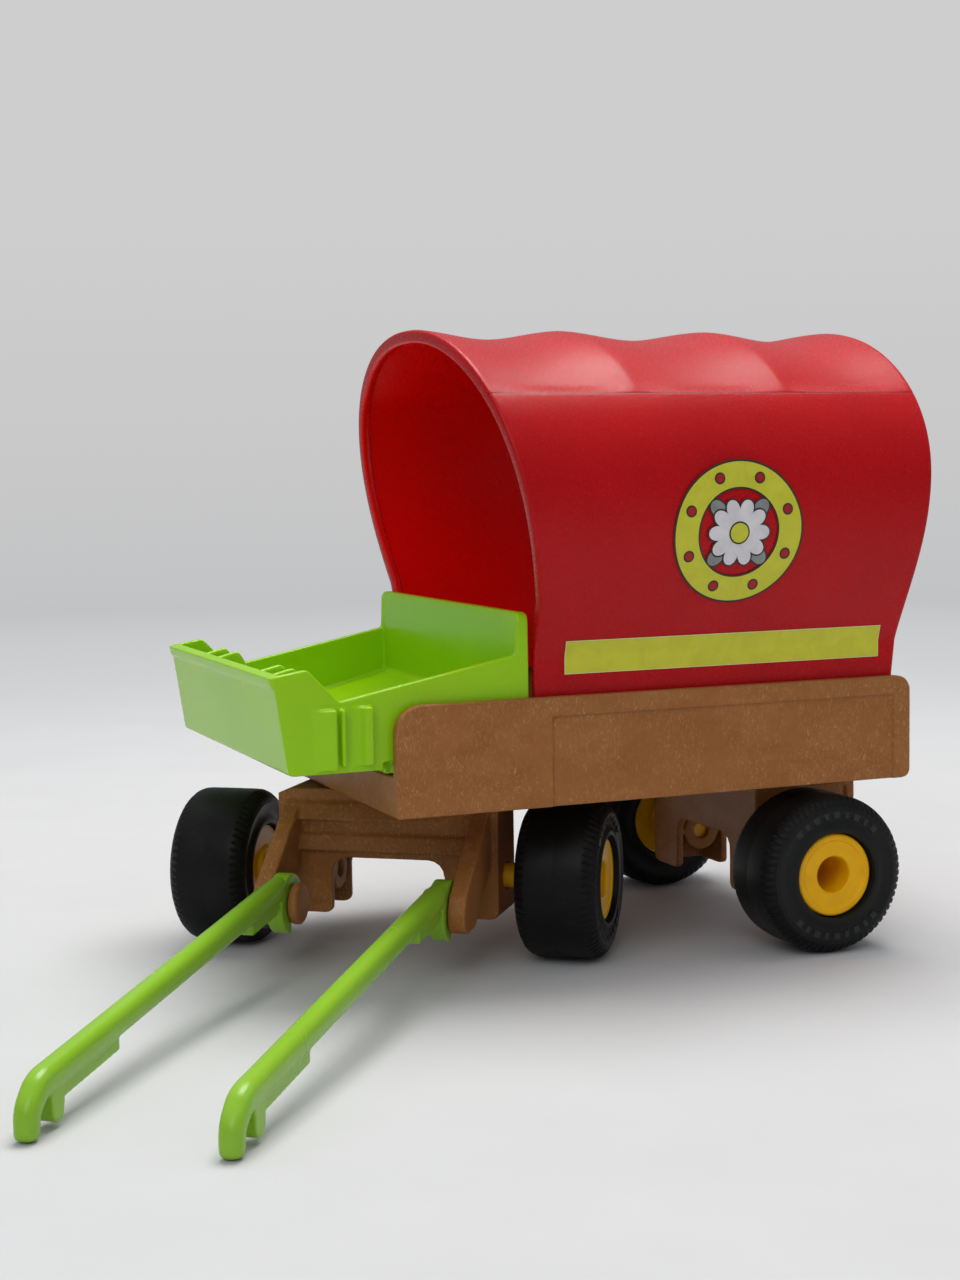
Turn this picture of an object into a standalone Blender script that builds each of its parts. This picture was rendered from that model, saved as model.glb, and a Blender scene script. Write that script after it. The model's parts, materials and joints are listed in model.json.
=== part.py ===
"""Toy pony carriage: a bed on four rubber wheels with a steering front
bogie, a seat box, a lift-off tilt cover and two hinged shafts.

Sizes are millimetres; a finished mesh is scaled to metres.
Forward is -Y, the wagon's left side is +X, up is +Z.
"""
import math

import bmesh
import bpy
from mathutils import Matrix, Vector

MM = 0.001

# Clearances between pieces
REST_GAP = 0.3      # two pieces that rest on each other
RUN_GAP = 0.25      # radial play of an axle in its bearing
SIDE_GAP = 0.4      # a box that slips between two walls
TURN_GAP = 0.4      # the bogie's top plate under the bed
TYRE_GAP = 0.3      # rubber on its hub
TYRE_TO_BED = 2.4   # air between the tyre's top and the bed

# Wheels
TYRE_R = 18.0
TYRE_W = 18.8
TYRE_SHOULDER = 2.8
TYRE_WALL_DISH = 0.7
TYRE_BEAD = 1.7
HUB_R = 9.4
HUB_WAIST = 0.8
HUB_RECESS = 1.6
HUB_RIM = 1.1
HUB_RIM_RISE = 0.35
SOCKET_R = 4.1
SOCKET_DEPTH = 12.5
STUB_R = 2.8
SNAP_RISE = 0.3
WHEEL_TO_CHEEK = 5.4
HUB_INSET = 1.0
HUB_FLANGE = 1.6
SOCKET_FLOOR = 3.5
AXLE_Z = TYRE_R

# Axle boxes under the bed, the same front and rear
BOX_WALL = 1.8
BEARING_WALL = 1.8
BEARING_R = STUB_R + RUN_GAP + BEARING_WALL
BOX_HALF_Y = BEARING_R + 0.55 + BOX_WALL
CHEEK_HALF = 26.3
ARCH_HALF = 13.5
ARCH_RISE = 4.0
ARCH_R = 3.8
LEG_BELOW_AXLE = 9.0
BEARING_END = 2.0
BEARING_EYE_R = 2.0
BOX_PLATE = 3.0
BOX_CHAMFER = (3.4, 1.4)
RIB_T = 1.6
PLATE_DROP = 3.0
PLATE_INSET = 0.2
FRAME_H = 4.5

# Bogie's front: two bands and the arms' slope
BAND_LOW = (5.9, 9.3)
BAND_HIGH = (13.0, 16.6)
BAND_OUT = (2.1, 2.6)
BAND_LEAN = (1.1, 1.8)
ARM_TOP = (4.3, 13.4)
ARM_ROOT = 3.5

# Bed
BED_HALF_W = 46.4
BED_BOTTOM = 2 * TYRE_R + TYRE_TO_BED
BED_H = 23.6
BED_TOP = BED_BOTTOM + BED_H
BED_WALL = 2.4
BED_FLOOR = 2.4
BED_FRONT_REACH = 16.2
BED_FRONT = -BED_FRONT_REACH
WHEELBASE = 87.1
REAR_OVERHANG = 21.9
BED_REAR = WHEELBASE + REAR_OVERHANG
FRONT_WALL_H = 8.6
PANEL_DEPTH = 0.7
PANEL_FRONT = 35.6
PANEL_REAR = 4.4
PANEL_TOP = 4.2
KING_R = 4.0
KING_HEAD_R = 5.4
KING_HEAD_H = 1.8
STUD_R = 3.0
STUD_HALF = 18.0

# Seat box
SEAT_HALF_W = BED_HALF_W - BED_WALL - SIDE_GAP
SEAT_SIDE = 2.0
SEAT_BACK = 2.5
SEAT_REAR = 15.1
SEAT_FRONT_TOP = -41.5
SEAT_FRONT_FOOT = -38.5
SEAT_BELOW = 1.6
SEAT_BOTTOM = BED_BOTTOM + FRONT_WALL_H + SEAT_BELOW
SEAT_FRONT_H = 20.6
SEAT_TAB_H = 1.2
SEAT_TAB_LEN = 7.4
SEAT_DIP_H = 14.8
SEAT_DIP_Y = -27.3
SEAT_SIDE_REAR_H = 22.6
SEAT_BACK_H = 31.6
SEAT_BACK_R = 4.0
SEAT_FLOOR = 2.0
SEAT_FLOOR_RISE = 9.8
SEAT_FLAT_Y = -30.0
SEAT_FOOT_H = 9.0
NOTCH_W = 1.2
NOTCH_H = 1.6
LIP_H = 2.4
LIP_OUT = 0.6
FIN_W = 1.7
FIN_FOOT_H = 6.0
FIN_X = (-20.0, -9.5, 25.5, 34.5)
HOLDER_OUT = 2.0
HOLDER_H = 12.6
HOLDER_UP = 0.8
WEDGE_Y = (-33.3, -28.4)
RIB_Y = (-27.5, -26.5)
FLANGE_Y = (-25.2, -20.5)

# Tilt cover
COVER_T = 1.8
COVER_BASE_HALF = BED_HALF_W - BED_WALL - 0.6
COVER_TONGUE = 3.0
COVER_BULGE = 8.4
COVER_BULGE_H = 40.0
COVER_STRAIGHT_H = 8.0
COVER_H = 80.2
COVER_SAG = 2.1
COVER_HOOPS = (0.0, 0.33, 0.68, 1.0)
COVER_SEAM_H = 64.5
COVER_FRONT = SEAT_REAR + 1.3
COVER_REAR = BED_REAR - BED_WALL - 0.5
COVER_LEAN_FRONT = 0.2
COVER_LEAN_REAR = 0.117
COVER_LEAN_END = 56.0
COVER_LEAN_BEND = 16.0
LEDGE = 2.6
LEDGE_W = 2.4
LEDGE_SPOTS = (0.12, 0.5, 0.88)

# Stickers on the cover's sides
STICKER_T = 0.25
STICKER_GAP = 0.2
STRIPE_LOW = 4.4
STRIPE_H = 7.3
STRIPE_INSET = 7.0
BADGE_R_Y = 15.9
BADGE_R_ARC = 17.2
BADGE_MID_H = 34.0
BADGE_FROM_FRONT = 45.3

# Shafts and their pegs on the bogie
STEER = 52.2
PEG_FORWARD = 24.5
PEG_Z = AXLE_Z - 3.2
PEG_R = 2.9
PEG_HEAD_R = 4.7
PEG_HEAD_T = 2.2
ARM_T = 3.9
ARM_OUT = 24.6
ARM_END_R = 4.8
CLIP_T = 3.8
CLIP_WALL = 3.6
BAR_W = 4.6
BAR_H = 5.3
BAR_LIFT = 4.5
SHAFT_LEN = 120.2
PRONG = 4.3
PRONG_SLOT = 3.6
BEND_RISE = 1.6
FOOT_GAP = 0.15
CLIP_OPEN = (-2.0, -100.0)
FIN_DROP = 2.1
FIN_T = 3.0
REAR_FIN = (8.4, 22.4)
FRONT_FIN_END = 32.8


def remove_all():
    """Empty the scene."""
    for obj in list(bpy.data.objects):
        bpy.data.objects.remove(obj, do_unlink=True)


def material(name, colour, rough):
    """A plain plastic or rubber."""
    mat = bpy.data.materials.new(name)
    mat.use_nodes = True
    bsdf = mat.node_tree.nodes["Principled BSDF"]
    bsdf.inputs["Base Color"].default_value = (*colour, 1.0)
    bsdf.inputs["Roughness"].default_value = rough
    return mat


def empty(name, parent=None, at=(0, 0, 0), turn=0.0):
    """A named frame; its place is in millimetres."""
    obj = bpy.data.objects.new(name, None)
    obj.location = Vector(at) * MM
    obj.rotation_euler = (0, 0, math.radians(turn))
    obj.parent = parent
    bpy.context.collection.objects.link(obj)
    return obj


def mesh_object(name, verts, faces):
    """A mesh object from points in millimetres."""
    mesh = bpy.data.meshes.new(name)
    mesh.from_pydata([Vector(v) for v in verts], [], faces)
    bm = bmesh.new()
    bm.from_mesh(mesh)
    bmesh.ops.recalc_face_normals(bm, faces=bm.faces)
    bm.to_mesh(mesh)
    bm.free()
    obj = bpy.data.objects.new(name, mesh)
    bpy.context.collection.objects.link(obj)
    return obj


def rounded(corners, steps=4):
    """Polygon with its corners rounded; a corner is (u, v, radius)."""
    out = []
    count = len(corners)
    for k, (u, v, radius) in enumerate(corners):
        here = Vector((u, v))
        if radius <= 0:
            out.append((u, v))
            continue
        back = Vector(corners[k - 1][:2]) - here
        ahead = Vector(corners[(k + 1) % count][:2]) - here
        half = back.angle(ahead) / 2
        reach = radius / math.tan(half)
        reach = min(reach, 0.49 * back.length, 0.49 * ahead.length)
        radius = reach * math.tan(half)
        middle = here + (back.normalized() + ahead.normalized()).normalized() \
            * (radius / math.sin(half))
        start = here + back.normalized() * reach - middle
        sweep = start.angle_signed(here + ahead.normalized() * reach - middle)
        for s in range(steps + 1):
            turn = -sweep * s / steps
            out.append((middle.x + start.x * math.cos(turn) - start.y * math.sin(turn),
                        middle.y + start.x * math.sin(turn) + start.y * math.cos(turn)))
    return out


PLACE = {
    "x": lambda u, v, w: (w, u, v),
    "y": lambda u, v, w: (u, w, v),
    "z": lambda u, v, w: (u, v, w),
}


def prism(name, outline, low, high, axis):
    """Extrude a flat outline between two planes across an axis."""
    place = PLACE[axis]
    count = len(outline)
    verts = [place(u, v, low) for u, v in outline]
    verts += [place(u, v, high) for u, v in outline]
    faces = [tuple(range(count)), tuple(range(count, 2 * count))]
    for k in range(count):
        nxt = (k + 1) % count
        faces.append((k, nxt, count + nxt, count + k))
    return mesh_object(name, verts, faces)


def block(name, x, y, z):
    """A box from three (low, high) pairs."""
    outline = [(x[0], y[0]), (x[1], y[0]), (x[1], y[1]), (x[0], y[1])]
    return prism(name, outline, z[0], z[1], "z")


def lathe(name, profile, steps, axis="x", closed=False):
    """Turn an (along, radius) outline about an axis; an open one is capped flat."""
    verts, faces = [], []
    for along, radius in profile:
        for s in range(steps):
            a = 2 * math.pi * s / steps
            u, v = radius * math.cos(a), radius * math.sin(a)
            verts.append((along, u, v) if axis == "x" else (u, v, along))
    count = len(profile)
    for k in range(count if closed else count - 1):
        here, other = k * steps, (k + 1) % count * steps
        for s in range(steps):
            nxt = (s + 1) % steps
            faces.append((here + s, here + nxt, other + nxt, other + s))
    if not closed:
        faces.append(tuple(range(steps)))
        faces.append(tuple(range((count - 1) * steps, count * steps)))
    return mesh_object(name, verts, faces)


def rod(name, radius, low, high, axis, steps=20):
    """A plain cylinder along x or z."""
    return lathe(name, [(low, radius), (high, radius)], steps, axis)


def move(obj, x=0.0, y=0.0, z=0.0):
    """Shift a mesh inside its object."""
    obj.data.transform(Matrix.Translation(Vector((x, y, z))))
    return obj


def bake(obj):
    """Turn the object's modifiers into mesh."""
    graph = bpy.context.evaluated_depsgraph_get()
    graph.update()
    done = bpy.data.meshes.new_from_object(obj.evaluated_get(graph))
    obj.modifiers.clear()
    obj.data = done
    return obj


def combine(obj, other, how):
    """Exact boolean of two meshes; the second object goes away."""
    mod = obj.modifiers.new(how, "BOOLEAN")
    mod.operation = how
    mod.solver = "EXACT"
    mod.object = other
    bake(obj)
    bpy.data.objects.remove(other, do_unlink=True)
    return obj


def add(obj, other):
    """Fuse a second shape into the first."""
    return combine(obj, other, "UNION")


def cut(obj, other):
    """Take a second shape out of the first."""
    return combine(obj, other, "DIFFERENCE")


def soften(obj, width, angle=50):
    """Break the sharp edges."""
    mod = obj.modifiers.new("soft_edges", "BEVEL")
    mod.width = width
    mod.segments = 1
    mod.limit_method = "ANGLE"
    mod.angle_limit = math.radians(angle)
    return bake(obj)


def finish(obj, mat, parent, at=(0, 0, 0), smooth=True):
    """Give the piece its material and its place."""
    obj.data.transform(Matrix.Scale(MM, 4))
    obj.data.materials.clear()
    obj.data.materials.append(mat)
    if smooth:
        obj.data.shade_smooth()
        obj.data.set_sharp_from_angle(angle=math.radians(35))
    obj.parent = parent
    obj.location = Vector(at) * MM
    return obj


def box_top():
    """Top of both axle boxes."""
    return BED_BOTTOM - TURN_GAP


def axle_box(name):
    """Hollow axle box about the origin: walls with an arch, cheeks, bearings."""
    top, low, arch = box_top(), AXLE_Z - LEG_BELOW_AXLE, AXLE_Z + ARCH_RISE
    outline = rounded([
        (-CHEEK_HALF, low, 2.0), (-ARCH_HALF, low, 1.6), (-ARCH_HALF, arch, ARCH_R),
        (ARCH_HALF, arch, ARCH_R), (ARCH_HALF, low, 1.6), (CHEEK_HALF, low, 2.0),
        (CHEEK_HALF, top - BOX_CHAMFER[1], 0), (CHEEK_HALF - BOX_CHAMFER[0], top, 0),
        (-CHEEK_HALF + BOX_CHAMFER[0], top, 0), (-CHEEK_HALF, top - BOX_CHAMFER[1], 0)])
    shell = prism(name, outline, -BOX_HALF_Y, BOX_HALF_Y, "y")
    inner = CHEEK_HALF - BOX_WALL
    hollow = block("hollow", (-inner, inner),
                   (-BOX_HALF_Y + BOX_WALL, BOX_HALF_Y - BOX_WALL),
                   (low - 5, top - BOX_PLATE))
    cut(shell, hollow)
    for side in (-1, 1):
        ends = sorted((side * (ARCH_HALF + 0.4), side * (CHEEK_HALF - BOX_WALL / 2)))
        add(shell, move(rod("bearing", BEARING_R, ends[0], ends[1], "x"), z=AXLE_Z))
        rib = sorted((side * (ARCH_HALF + BEARING_END - RIB_T / 2),
                      side * (ARCH_HALF + BEARING_END + RIB_T / 2)))
        add(shell, block("rib", rib, (-BOX_HALF_Y + BOX_WALL / 2, BOX_HALF_Y - BOX_WALL / 2),
                         (AXLE_Z, top - BOX_PLATE / 2)))
        bore = STUB_R + RUN_GAP
        groove = bore + SNAP_RISE
        start, end = ARCH_HALF + BEARING_END, CHEEK_HALF + 1
        mid = (start + CHEEK_HALF) / 2
        profile = [(ARCH_HALF - 1, BEARING_EYE_R), (start, BEARING_EYE_R),
                   (start, bore), (mid - 1.6, bore), (mid - 1.1, groove),
                   (mid + 1.1, groove), (mid + 1.6, bore), (end, bore)]
        profile = [(side * a, r) for a, r in profile]
        cut(shell, move(lathe("bore", profile, 20), z=AXLE_Z))
    return shell


def front_bogie(mat, parent):
    """Steering bogie: axle box, two face bands, king pin, arms and pegs."""
    body = axle_box("front_bogie")
    top = box_top()
    face = -BOX_HALF_Y
    root = face + BOX_WALL / 2
    for (low, high), out, lean in zip((BAND_LOW, BAND_HIGH), BAND_OUT, BAND_LEAN):
        band = [(root, AXLE_Z + low), (face - out, AXLE_Z + low),
                (face - out + lean, AXLE_Z + high), (root, AXLE_Z + high + out / 2)]
        add(body, prism("band", band, -ARM_OUT + PLATE_INSET, ARM_OUT - PLATE_INSET, "x"))
    pin_top = BED_BOTTOM + BED_FLOOR + REST_GAP
    king = lathe("king", [
        (top - 1, KING_R), (pin_top, KING_R), (pin_top, KING_HEAD_R),
        (pin_top + 0.6, KING_HEAD_R), (pin_top + KING_HEAD_H, KING_R - 0.4)], 20, "z")
    add(body, king)
    peg_y = -PEG_FORWARD
    crest = AXLE_Z + BAND_HIGH[1] - 0.4
    slope = rounded([
        (root, crest, 0), (face - BAND_OUT[1] + BAND_LEAN[1], crest, 0),
        (face - ARM_TOP[0], AXLE_Z + ARM_TOP[1], 0),
        (peg_y - ARM_END_R * 0.68, PEG_Z + ARM_END_R * 0.76, 2.0),
        (peg_y - ARM_END_R, PEG_Z, 2.4), (peg_y - ARM_END_R * 0.8, PEG_Z - ARM_END_R, 3.4),
        (peg_y + ARM_END_R * 0.8, PEG_Z - ARM_END_R * 0.92, 3.0),
        (root, AXLE_Z + ARM_ROOT, 0)], 4)
    for side in (-1, 1):
        ends = sorted((side * (ARM_OUT - ARM_T), side * ARM_OUT))
        add(body, prism("arm", slope, ends[0], ends[1], "x"))
        in_face = ARM_OUT - ARM_T
        head = in_face - CLIP_T - 2 * REST_GAP
        profile = [(in_face + ARM_T / 2, PEG_R), (head, PEG_R),
                   (head, PEG_HEAD_R - 0.4), (head - 0.4, PEG_HEAD_R),
                   (head - PEG_HEAD_T + 0.5, PEG_HEAD_R),
                   (head - PEG_HEAD_T, PEG_HEAD_R - 0.7)]
        profile = [(side * a, r) for a, r in profile]
        add(body, move(lathe("peg", profile, 20), y=peg_y, z=PEG_Z))
    return finish(body, mat, parent)


def rear_carrier(mat, parent):
    """Rear axle box with side plates that run back under the bed."""
    body = axle_box("rear_axle_carrier")
    top = box_top()
    end = REAR_OVERHANG - 2.0
    high = top - PLATE_DROP
    low = high - FRAME_H
    for side in (-1, 1):
        x = sorted((side * (CHEEK_HALF - BOX_WALL - PLATE_INSET), side * (CHEEK_HALF - PLATE_INSET)))
        add(body, block("plate", x, (BOX_HALF_Y - BOX_WALL / 2, end), (low, high)))
        groove = sorted((side * (CHEEK_HALF - PLATE_INSET - BOX_WALL / 3), side * (CHEEK_HALF + 1)))
        cut(body, block("groove", groove, (end - 2 * BOX_WALL, end - 2 * BOX_WALL + NOTCH_W),
                        (low - 1, high - 1)))
        stud = rod("stud", STUD_R, top - 1, BED_BOTTOM + BED_FLOOR - REST_GAP, "z")
        add(body, move(stud, x=side * STUD_HALF))
    half = CHEEK_HALF - BOX_WALL / 2
    add(body, block("tail", (-half, half), (end - BOX_WALL - PLATE_INSET, end - PLATE_INSET),
                    (low + 0.4, high - 0.4)))
    return finish(body, mat, parent, (0, WHEELBASE, 0))


def wagon_bed(mat, parent):
    """Open bed with a low front wall, side panels and cover ledges."""
    side = rounded([
        (BED_FRONT, BED_BOTTOM, 0.4), (BED_REAR, BED_BOTTOM, 2.0),
        (BED_REAR, BED_TOP, 3.4), (BED_FRONT, BED_TOP, 6.0)], 5)
    body = prism("wagon_bed", side, -BED_HALF_W, BED_HALF_W, "x")
    inner = BED_HALF_W - BED_WALL
    cut(body, block("inside", (-inner, inner), (BED_FRONT + BED_WALL, BED_REAR - BED_WALL),
                    (BED_BOTTOM + BED_FLOOR, BED_TOP + 5)))
    cut(body, block("front", (-inner, inner), (BED_FRONT - 5, BED_FRONT + BED_WALL + 1),
                    (BED_BOTTOM + FRONT_WALL_H, BED_TOP + 5)))
    for sign in (-1, 1):
        x = sorted((sign * (BED_HALF_W - PANEL_DEPTH), sign * (BED_HALF_W + 2)))
        panel = prism("panel", rounded([
            (BED_FRONT + PANEL_FRONT, BED_BOTTOM - 2, 0), (BED_REAR - PANEL_REAR, BED_BOTTOM - 2, 0),
            (BED_REAR - PANEL_REAR, BED_TOP - PANEL_TOP, 0.6),
            (BED_FRONT + PANEL_FRONT, BED_TOP - PANEL_TOP, 0.6)], 2), x[0], x[1], "x")
        cut(body, panel)
        ledge = sorted((sign * (inner - LEDGE), sign * (inner + BED_WALL / 2)))
        for part in LEDGE_SPOTS:
            y = COVER_FRONT + part * (COVER_REAR - COVER_FRONT)
            add(body, block("ledge", ledge, (y - LEDGE_W / 2, y + LEDGE_W / 2),
                            (BED_BOTTOM + BED_FLOOR / 2, BED_TOP - COVER_TONGUE - REST_GAP)))
        hole = rod("stud_hole", STUD_R + REST_GAP, BED_BOTTOM - 2,
                   BED_BOTTOM + BED_FLOOR + 2, "z")
        cut(body, move(hole, x=sign * STUD_HALF, y=WHEELBASE))
    cut(body, rod("king_hole", KING_R + RUN_GAP, BED_BOTTOM - 2,
                  BED_BOTTOM + BED_FLOOR + 2, "z"))
    soften(body, 0.45)
    return finish(body, mat, parent)


def seat_box(mat, parent):
    """Seat box: sloping floor, tall back, raised front corners, fins, holders."""
    low = SEAT_BOTTOM
    floor_low = BED_BOTTOM + BED_FLOOR + REST_GAP
    behind = BED_FRONT + BED_WALL + SIDE_GAP
    over = BED_BOTTOM + FRONT_WALL_H + REST_GAP
    front_top = low + SEAT_FRONT_H
    dip = low + SEAT_DIP_H
    back_in = SEAT_REAR - SEAT_BACK
    tab = front_top + SEAT_TAB_H
    outline = rounded([
        (SEAT_FRONT_FOOT, low, 0.8), (SEAT_FRONT_TOP, front_top, 0.5),
        (SEAT_FRONT_TOP + SEAT_TAB_LEN, tab, 1.4),
        (SEAT_DIP_Y, dip, 0.8), (back_in - 0.4, low + SEAT_SIDE_REAR_H, 0.5),
        (back_in, low + SEAT_BACK_H, 0.8), (SEAT_REAR, low + SEAT_BACK_H, 0.8),
        (SEAT_REAR, floor_low, 0), (behind, floor_low, 0), (behind, over, 0),
        (BED_FRONT - 0.6, over, 0), (BED_FRONT - 0.6, low, 0)], 3)
    body = prism("seat_box", outline, -SEAT_HALF_W, SEAT_HALF_W, "x")
    inner = SEAT_HALF_W - SEAT_SIDE
    lean = (SEAT_FRONT_TOP - SEAT_FRONT_FOOT) / SEAT_FRONT_H
    well = low + SEAT_FLOOR
    bench = well + SEAT_FLOOR_RISE
    up = low + SEAT_BACK_H + 10
    inside = rounded([
        (SEAT_FRONT_FOOT + lean * SEAT_FLOOR + SEAT_SIDE, well, 1.2), (SEAT_FLAT_Y, well, 0),
        (back_in, bench, 1.2), (back_in, up, 0),
        (SEAT_FRONT_FOOT + lean * (up - low) + SEAT_SIDE, up, 0)], 3)
    cut(body, prism("inside", inside, -inner, inner, "x"))
    rise = SEAT_FLOOR_RISE / (back_in - SEAT_FLAT_Y)
    under_front, under_rear = behind + SEAT_SIDE, back_in
    roof = well - SEAT_FLOOR - 0.4
    under = [(under_front, floor_low - 5), (under_rear, floor_low - 5),
             (under_rear, roof + rise * (under_rear - SEAT_FLAT_Y)),
             (under_front, roof + rise * (under_front - SEAT_FLAT_Y))]
    cut(body, prism("under", under, -inner, inner, "x"))
    foot = [(under_rear - SEAT_SIDE, floor_low - 4), (SEAT_REAR + 2, floor_low - 4),
            (SEAT_REAR + 2, floor_low + SEAT_FOOT_H), (under_rear - SEAT_SIDE, floor_low + SEAT_FOOT_H)]
    cut(body, prism("foot", foot, -inner + SEAT_SIDE, inner - SEAT_SIDE, "x"))
    for side in (-1, 1):
        corner = rounded([
            (side * (SEAT_HALF_W - SEAT_BACK_R), low + SEAT_BACK_H + 2, 0),
            (side * (SEAT_HALF_W - SEAT_BACK_R), low + SEAT_BACK_H, 0),
            (side * SEAT_HALF_W, low + SEAT_BACK_H, SEAT_BACK_R),
            (side * SEAT_HALF_W, low + SEAT_BACK_H - SEAT_BACK_R, 0),
            (side * (SEAT_HALF_W + 2), low + SEAT_BACK_H - SEAT_BACK_R, 0),
            (side * (SEAT_HALF_W + 2), low + SEAT_BACK_H + 2, 0)], 5)
        cut(body, prism("corner", corner, back_in - 2, SEAT_REAR + 2, "y"))
        notch = sorted((side * (inner - 1), side * (SEAT_HALF_W + 1)))
        cut(body, block("notch", notch, (BED_FRONT - 0.6 - NOTCH_W, BED_FRONT + 1.0),
                        (over - 1, low + NOTCH_H)))
        holder(body, side, low)
    fin_front = SEAT_FRONT_FOOT + lean * FIN_FOOT_H + SEAT_SIDE / 2
    fin = rounded([
        (SEAT_FRONT_TOP + SEAT_SIDE / 2, front_top - 0.6, 0),
        (SEAT_FRONT_TOP + SEAT_TAB_LEN, tab - 0.2, 1.4),
        (SEAT_FRONT_TOP + SEAT_TAB_LEN + 2.4, front_top - 3.0, 1.0),
        (SEAT_FRONT_TOP + SEAT_TAB_LEN + 1.2, low + FIN_FOOT_H, 1.0),
        (fin_front, low + FIN_FOOT_H, 0)], 3)
    for x in FIN_X:
        add(body, prism("fin", fin, x - FIN_W / 2, x + FIN_W / 2, "x"))
    lip = [(SEAT_FRONT_TOP + 0.6, front_top), (SEAT_FRONT_TOP - LIP_OUT, front_top - 0.2),
           (SEAT_FRONT_TOP - LIP_OUT + 0.4, front_top - LIP_H),
           (SEAT_FRONT_TOP + 1.0, front_top - LIP_H)]
    add(body, prism("lip", lip, -SEAT_HALF_W + 0.5, SEAT_HALF_W - 0.5, "x"))
    soften(body, 0.35)
    return finish(body, mat, parent)


def holder(body, side, low):
    """Clip holder on one outer side of the seat: wedge, rib and flange."""
    base = side * (SEAT_HALF_W - SEAT_SIDE / 2)
    face = side * SEAT_HALF_W
    out = side * (SEAT_HALF_W + HOLDER_OUT)
    bottom = low + HOLDER_UP
    top = bottom + HOLDER_H
    mid = (WEDGE_Y[0] + WEDGE_Y[1]) / 2 + 1.0
    wedge = [(base, WEDGE_Y[0]), (face, WEDGE_Y[0]), (out - side * 0.3, mid),
             (out, WEDGE_Y[1]), (base, WEDGE_Y[1])]
    add(body, prism("wedge", wedge, bottom, top, "z"))
    x = sorted((base, out))
    add(body, block("rib", x, RIB_Y, (bottom + 0.6, top)))
    bar = FLANGE_Y[1] - 1.6
    flange = [(base, FLANGE_Y[0]), (face + side * 0.2, FLANGE_Y[0]), (face + side * 0.5, bar - 1.2),
              (out, bar), (out, FLANGE_Y[1]), (base, FLANGE_Y[1])]
    add(body, prism("flange", flange, bottom + 0.6, top + 0.2, "z"))


def cover_half(height):
    """Half width of the cover's side at a height over the bed's top."""
    if height <= COVER_STRAIGHT_H:
        return COVER_BASE_HALF
    t = (height - COVER_STRAIGHT_H) / (COVER_BULGE_H - COVER_STRAIGHT_H)
    return COVER_BASE_HALF + COVER_BULGE * math.sin(math.pi / 2 * min(t, 1.0) ** 1.15)


def cover_profile(low_steps, top_steps):
    """Outer profile points (x, height) from the left foot over to the right."""
    side = [(COVER_BASE_HALF, -COVER_TONGUE), (COVER_BASE_HALF, 0.5),
            (COVER_BASE_HALF, COVER_STRAIGHT_H)]
    for s in range(1, low_steps + 1):
        h = COVER_STRAIGHT_H + (COVER_BULGE_H - COVER_STRAIGHT_H) * s / low_steps
        side.append((cover_half(h), h))
    wide, rise, power = COVER_BASE_HALF + COVER_BULGE, COVER_H - COVER_BULGE_H, 2 / 2.15
    for s in range(1, top_steps + 1):
        a = math.pi / 2 * s / top_steps
        side.append((wide * max(math.cos(a), 0.0) ** power,
                     COVER_BULGE_H + rise * math.sin(a) ** power))
    side[-1] = (0.0, COVER_H)
    return side + [(-x, h) for x, h in reversed(side[:-1])]


def cover_ends(height):
    """Front and rear y of the cover at a height over the bed's top."""
    lean_from = SEAT_BOTTOM + SEAT_BACK_H + 1.0 - BED_TOP
    front = COVER_FRONT - COVER_LEAN_FRONT * max(height - lean_from, 0.0)
    bend = COVER_LEAN_END - COVER_LEAN_BEND
    over = COVER_LEAN_BEND * math.tanh(max(height - bend, 0.0) / COVER_LEAN_BEND)
    return front, COVER_REAR + COVER_LEAN_REAR * (max(min(height, bend), 0.0) + over)


def cover_dent(spot, height):
    """How far the cover sinks between its hoops, most at the ridge."""
    share = max(height - COVER_SEAM_H, 0.0) / (COVER_H - COVER_SEAM_H)
    bay = 0.0
    for front, rear in zip(COVER_HOOPS, COVER_HOOPS[1:]):
        if front <= spot <= rear:
            bay = (spot - front) / (rear - front)
    wave = max(math.sin(math.pi * bay), 0.0) ** (0.7 + 0.8 * share)
    return COVER_SAG * wave * min(4.0 * share, 1.0) * (0.65 + 0.35 * share)


def cover(mat, parent):
    """Tilt cover: one thin bulging shell that sags between its hoops."""
    profile = cover_profile(5, 9)
    count = len(profile)
    normals = []
    for k, (x, h) in enumerate(profile):
        px, ph = profile[max(k - 1, 0)]
        nx, nh = profile[min(k + 1, count - 1)]
        tangent = Vector((nx - px, nh - ph)).normalized()
        normals.append(Vector((tangent.y, -tangent.x)))
    steps = 6
    spots = [0.0, 0.008]
    for front, rear in zip(COVER_HOOPS, COVER_HOOPS[1:]):
        spots += [front + (rear - front) * s / steps for s in range(1, steps + 1)]
    spots[-1:] = [0.992, 1.0]
    verts = []
    for layer in (0, 1):
        for spot in spots:
            edge = 0.45 if spot in (0.0, 1.0) else 0.0
            for (x, h), n in zip(profile, normals):
                front, rear = cover_ends(h)
                depth = (COVER_T - edge if layer else edge) + cover_dent(spot, h)
                verts.append((x - n.x * depth, front + spot * (rear - front),
                              BED_TOP + h - n.y * depth))
    faces = []
    size = count * len(spots)
    for j in range(len(spots) - 1):
        for i in range(count - 1):
            a = j * count + i
            quad = (a, a + 1, a + count + 1, a + count)
            faces.append(quad)
            faces.append(tuple(size + k for k in reversed(quad)))
    for j in (0, len(spots) - 1):
        for i in range(count - 1):
            a = j * count + i
            faces.append((a, a + 1, size + a + 1, size + a))
    for i in (0, count - 1):
        for j in range(len(spots) - 1):
            a = j * count + i
            faces.append((a, a + count, size + a + count, size + a))
    return finish(mesh_object("canopy", verts, faces), mat, parent)


def side_point(side, y, height, lift):
    """A point over the cover's side, lifted off along its normal."""
    slope = (cover_half(height + 0.05) - cover_half(height - 0.05)) / 0.1
    n = Vector((1.0, -slope)).normalized()
    return (side * (cover_half(height) + n.x * lift), y, BED_TOP + height + n.y * lift)


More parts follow.
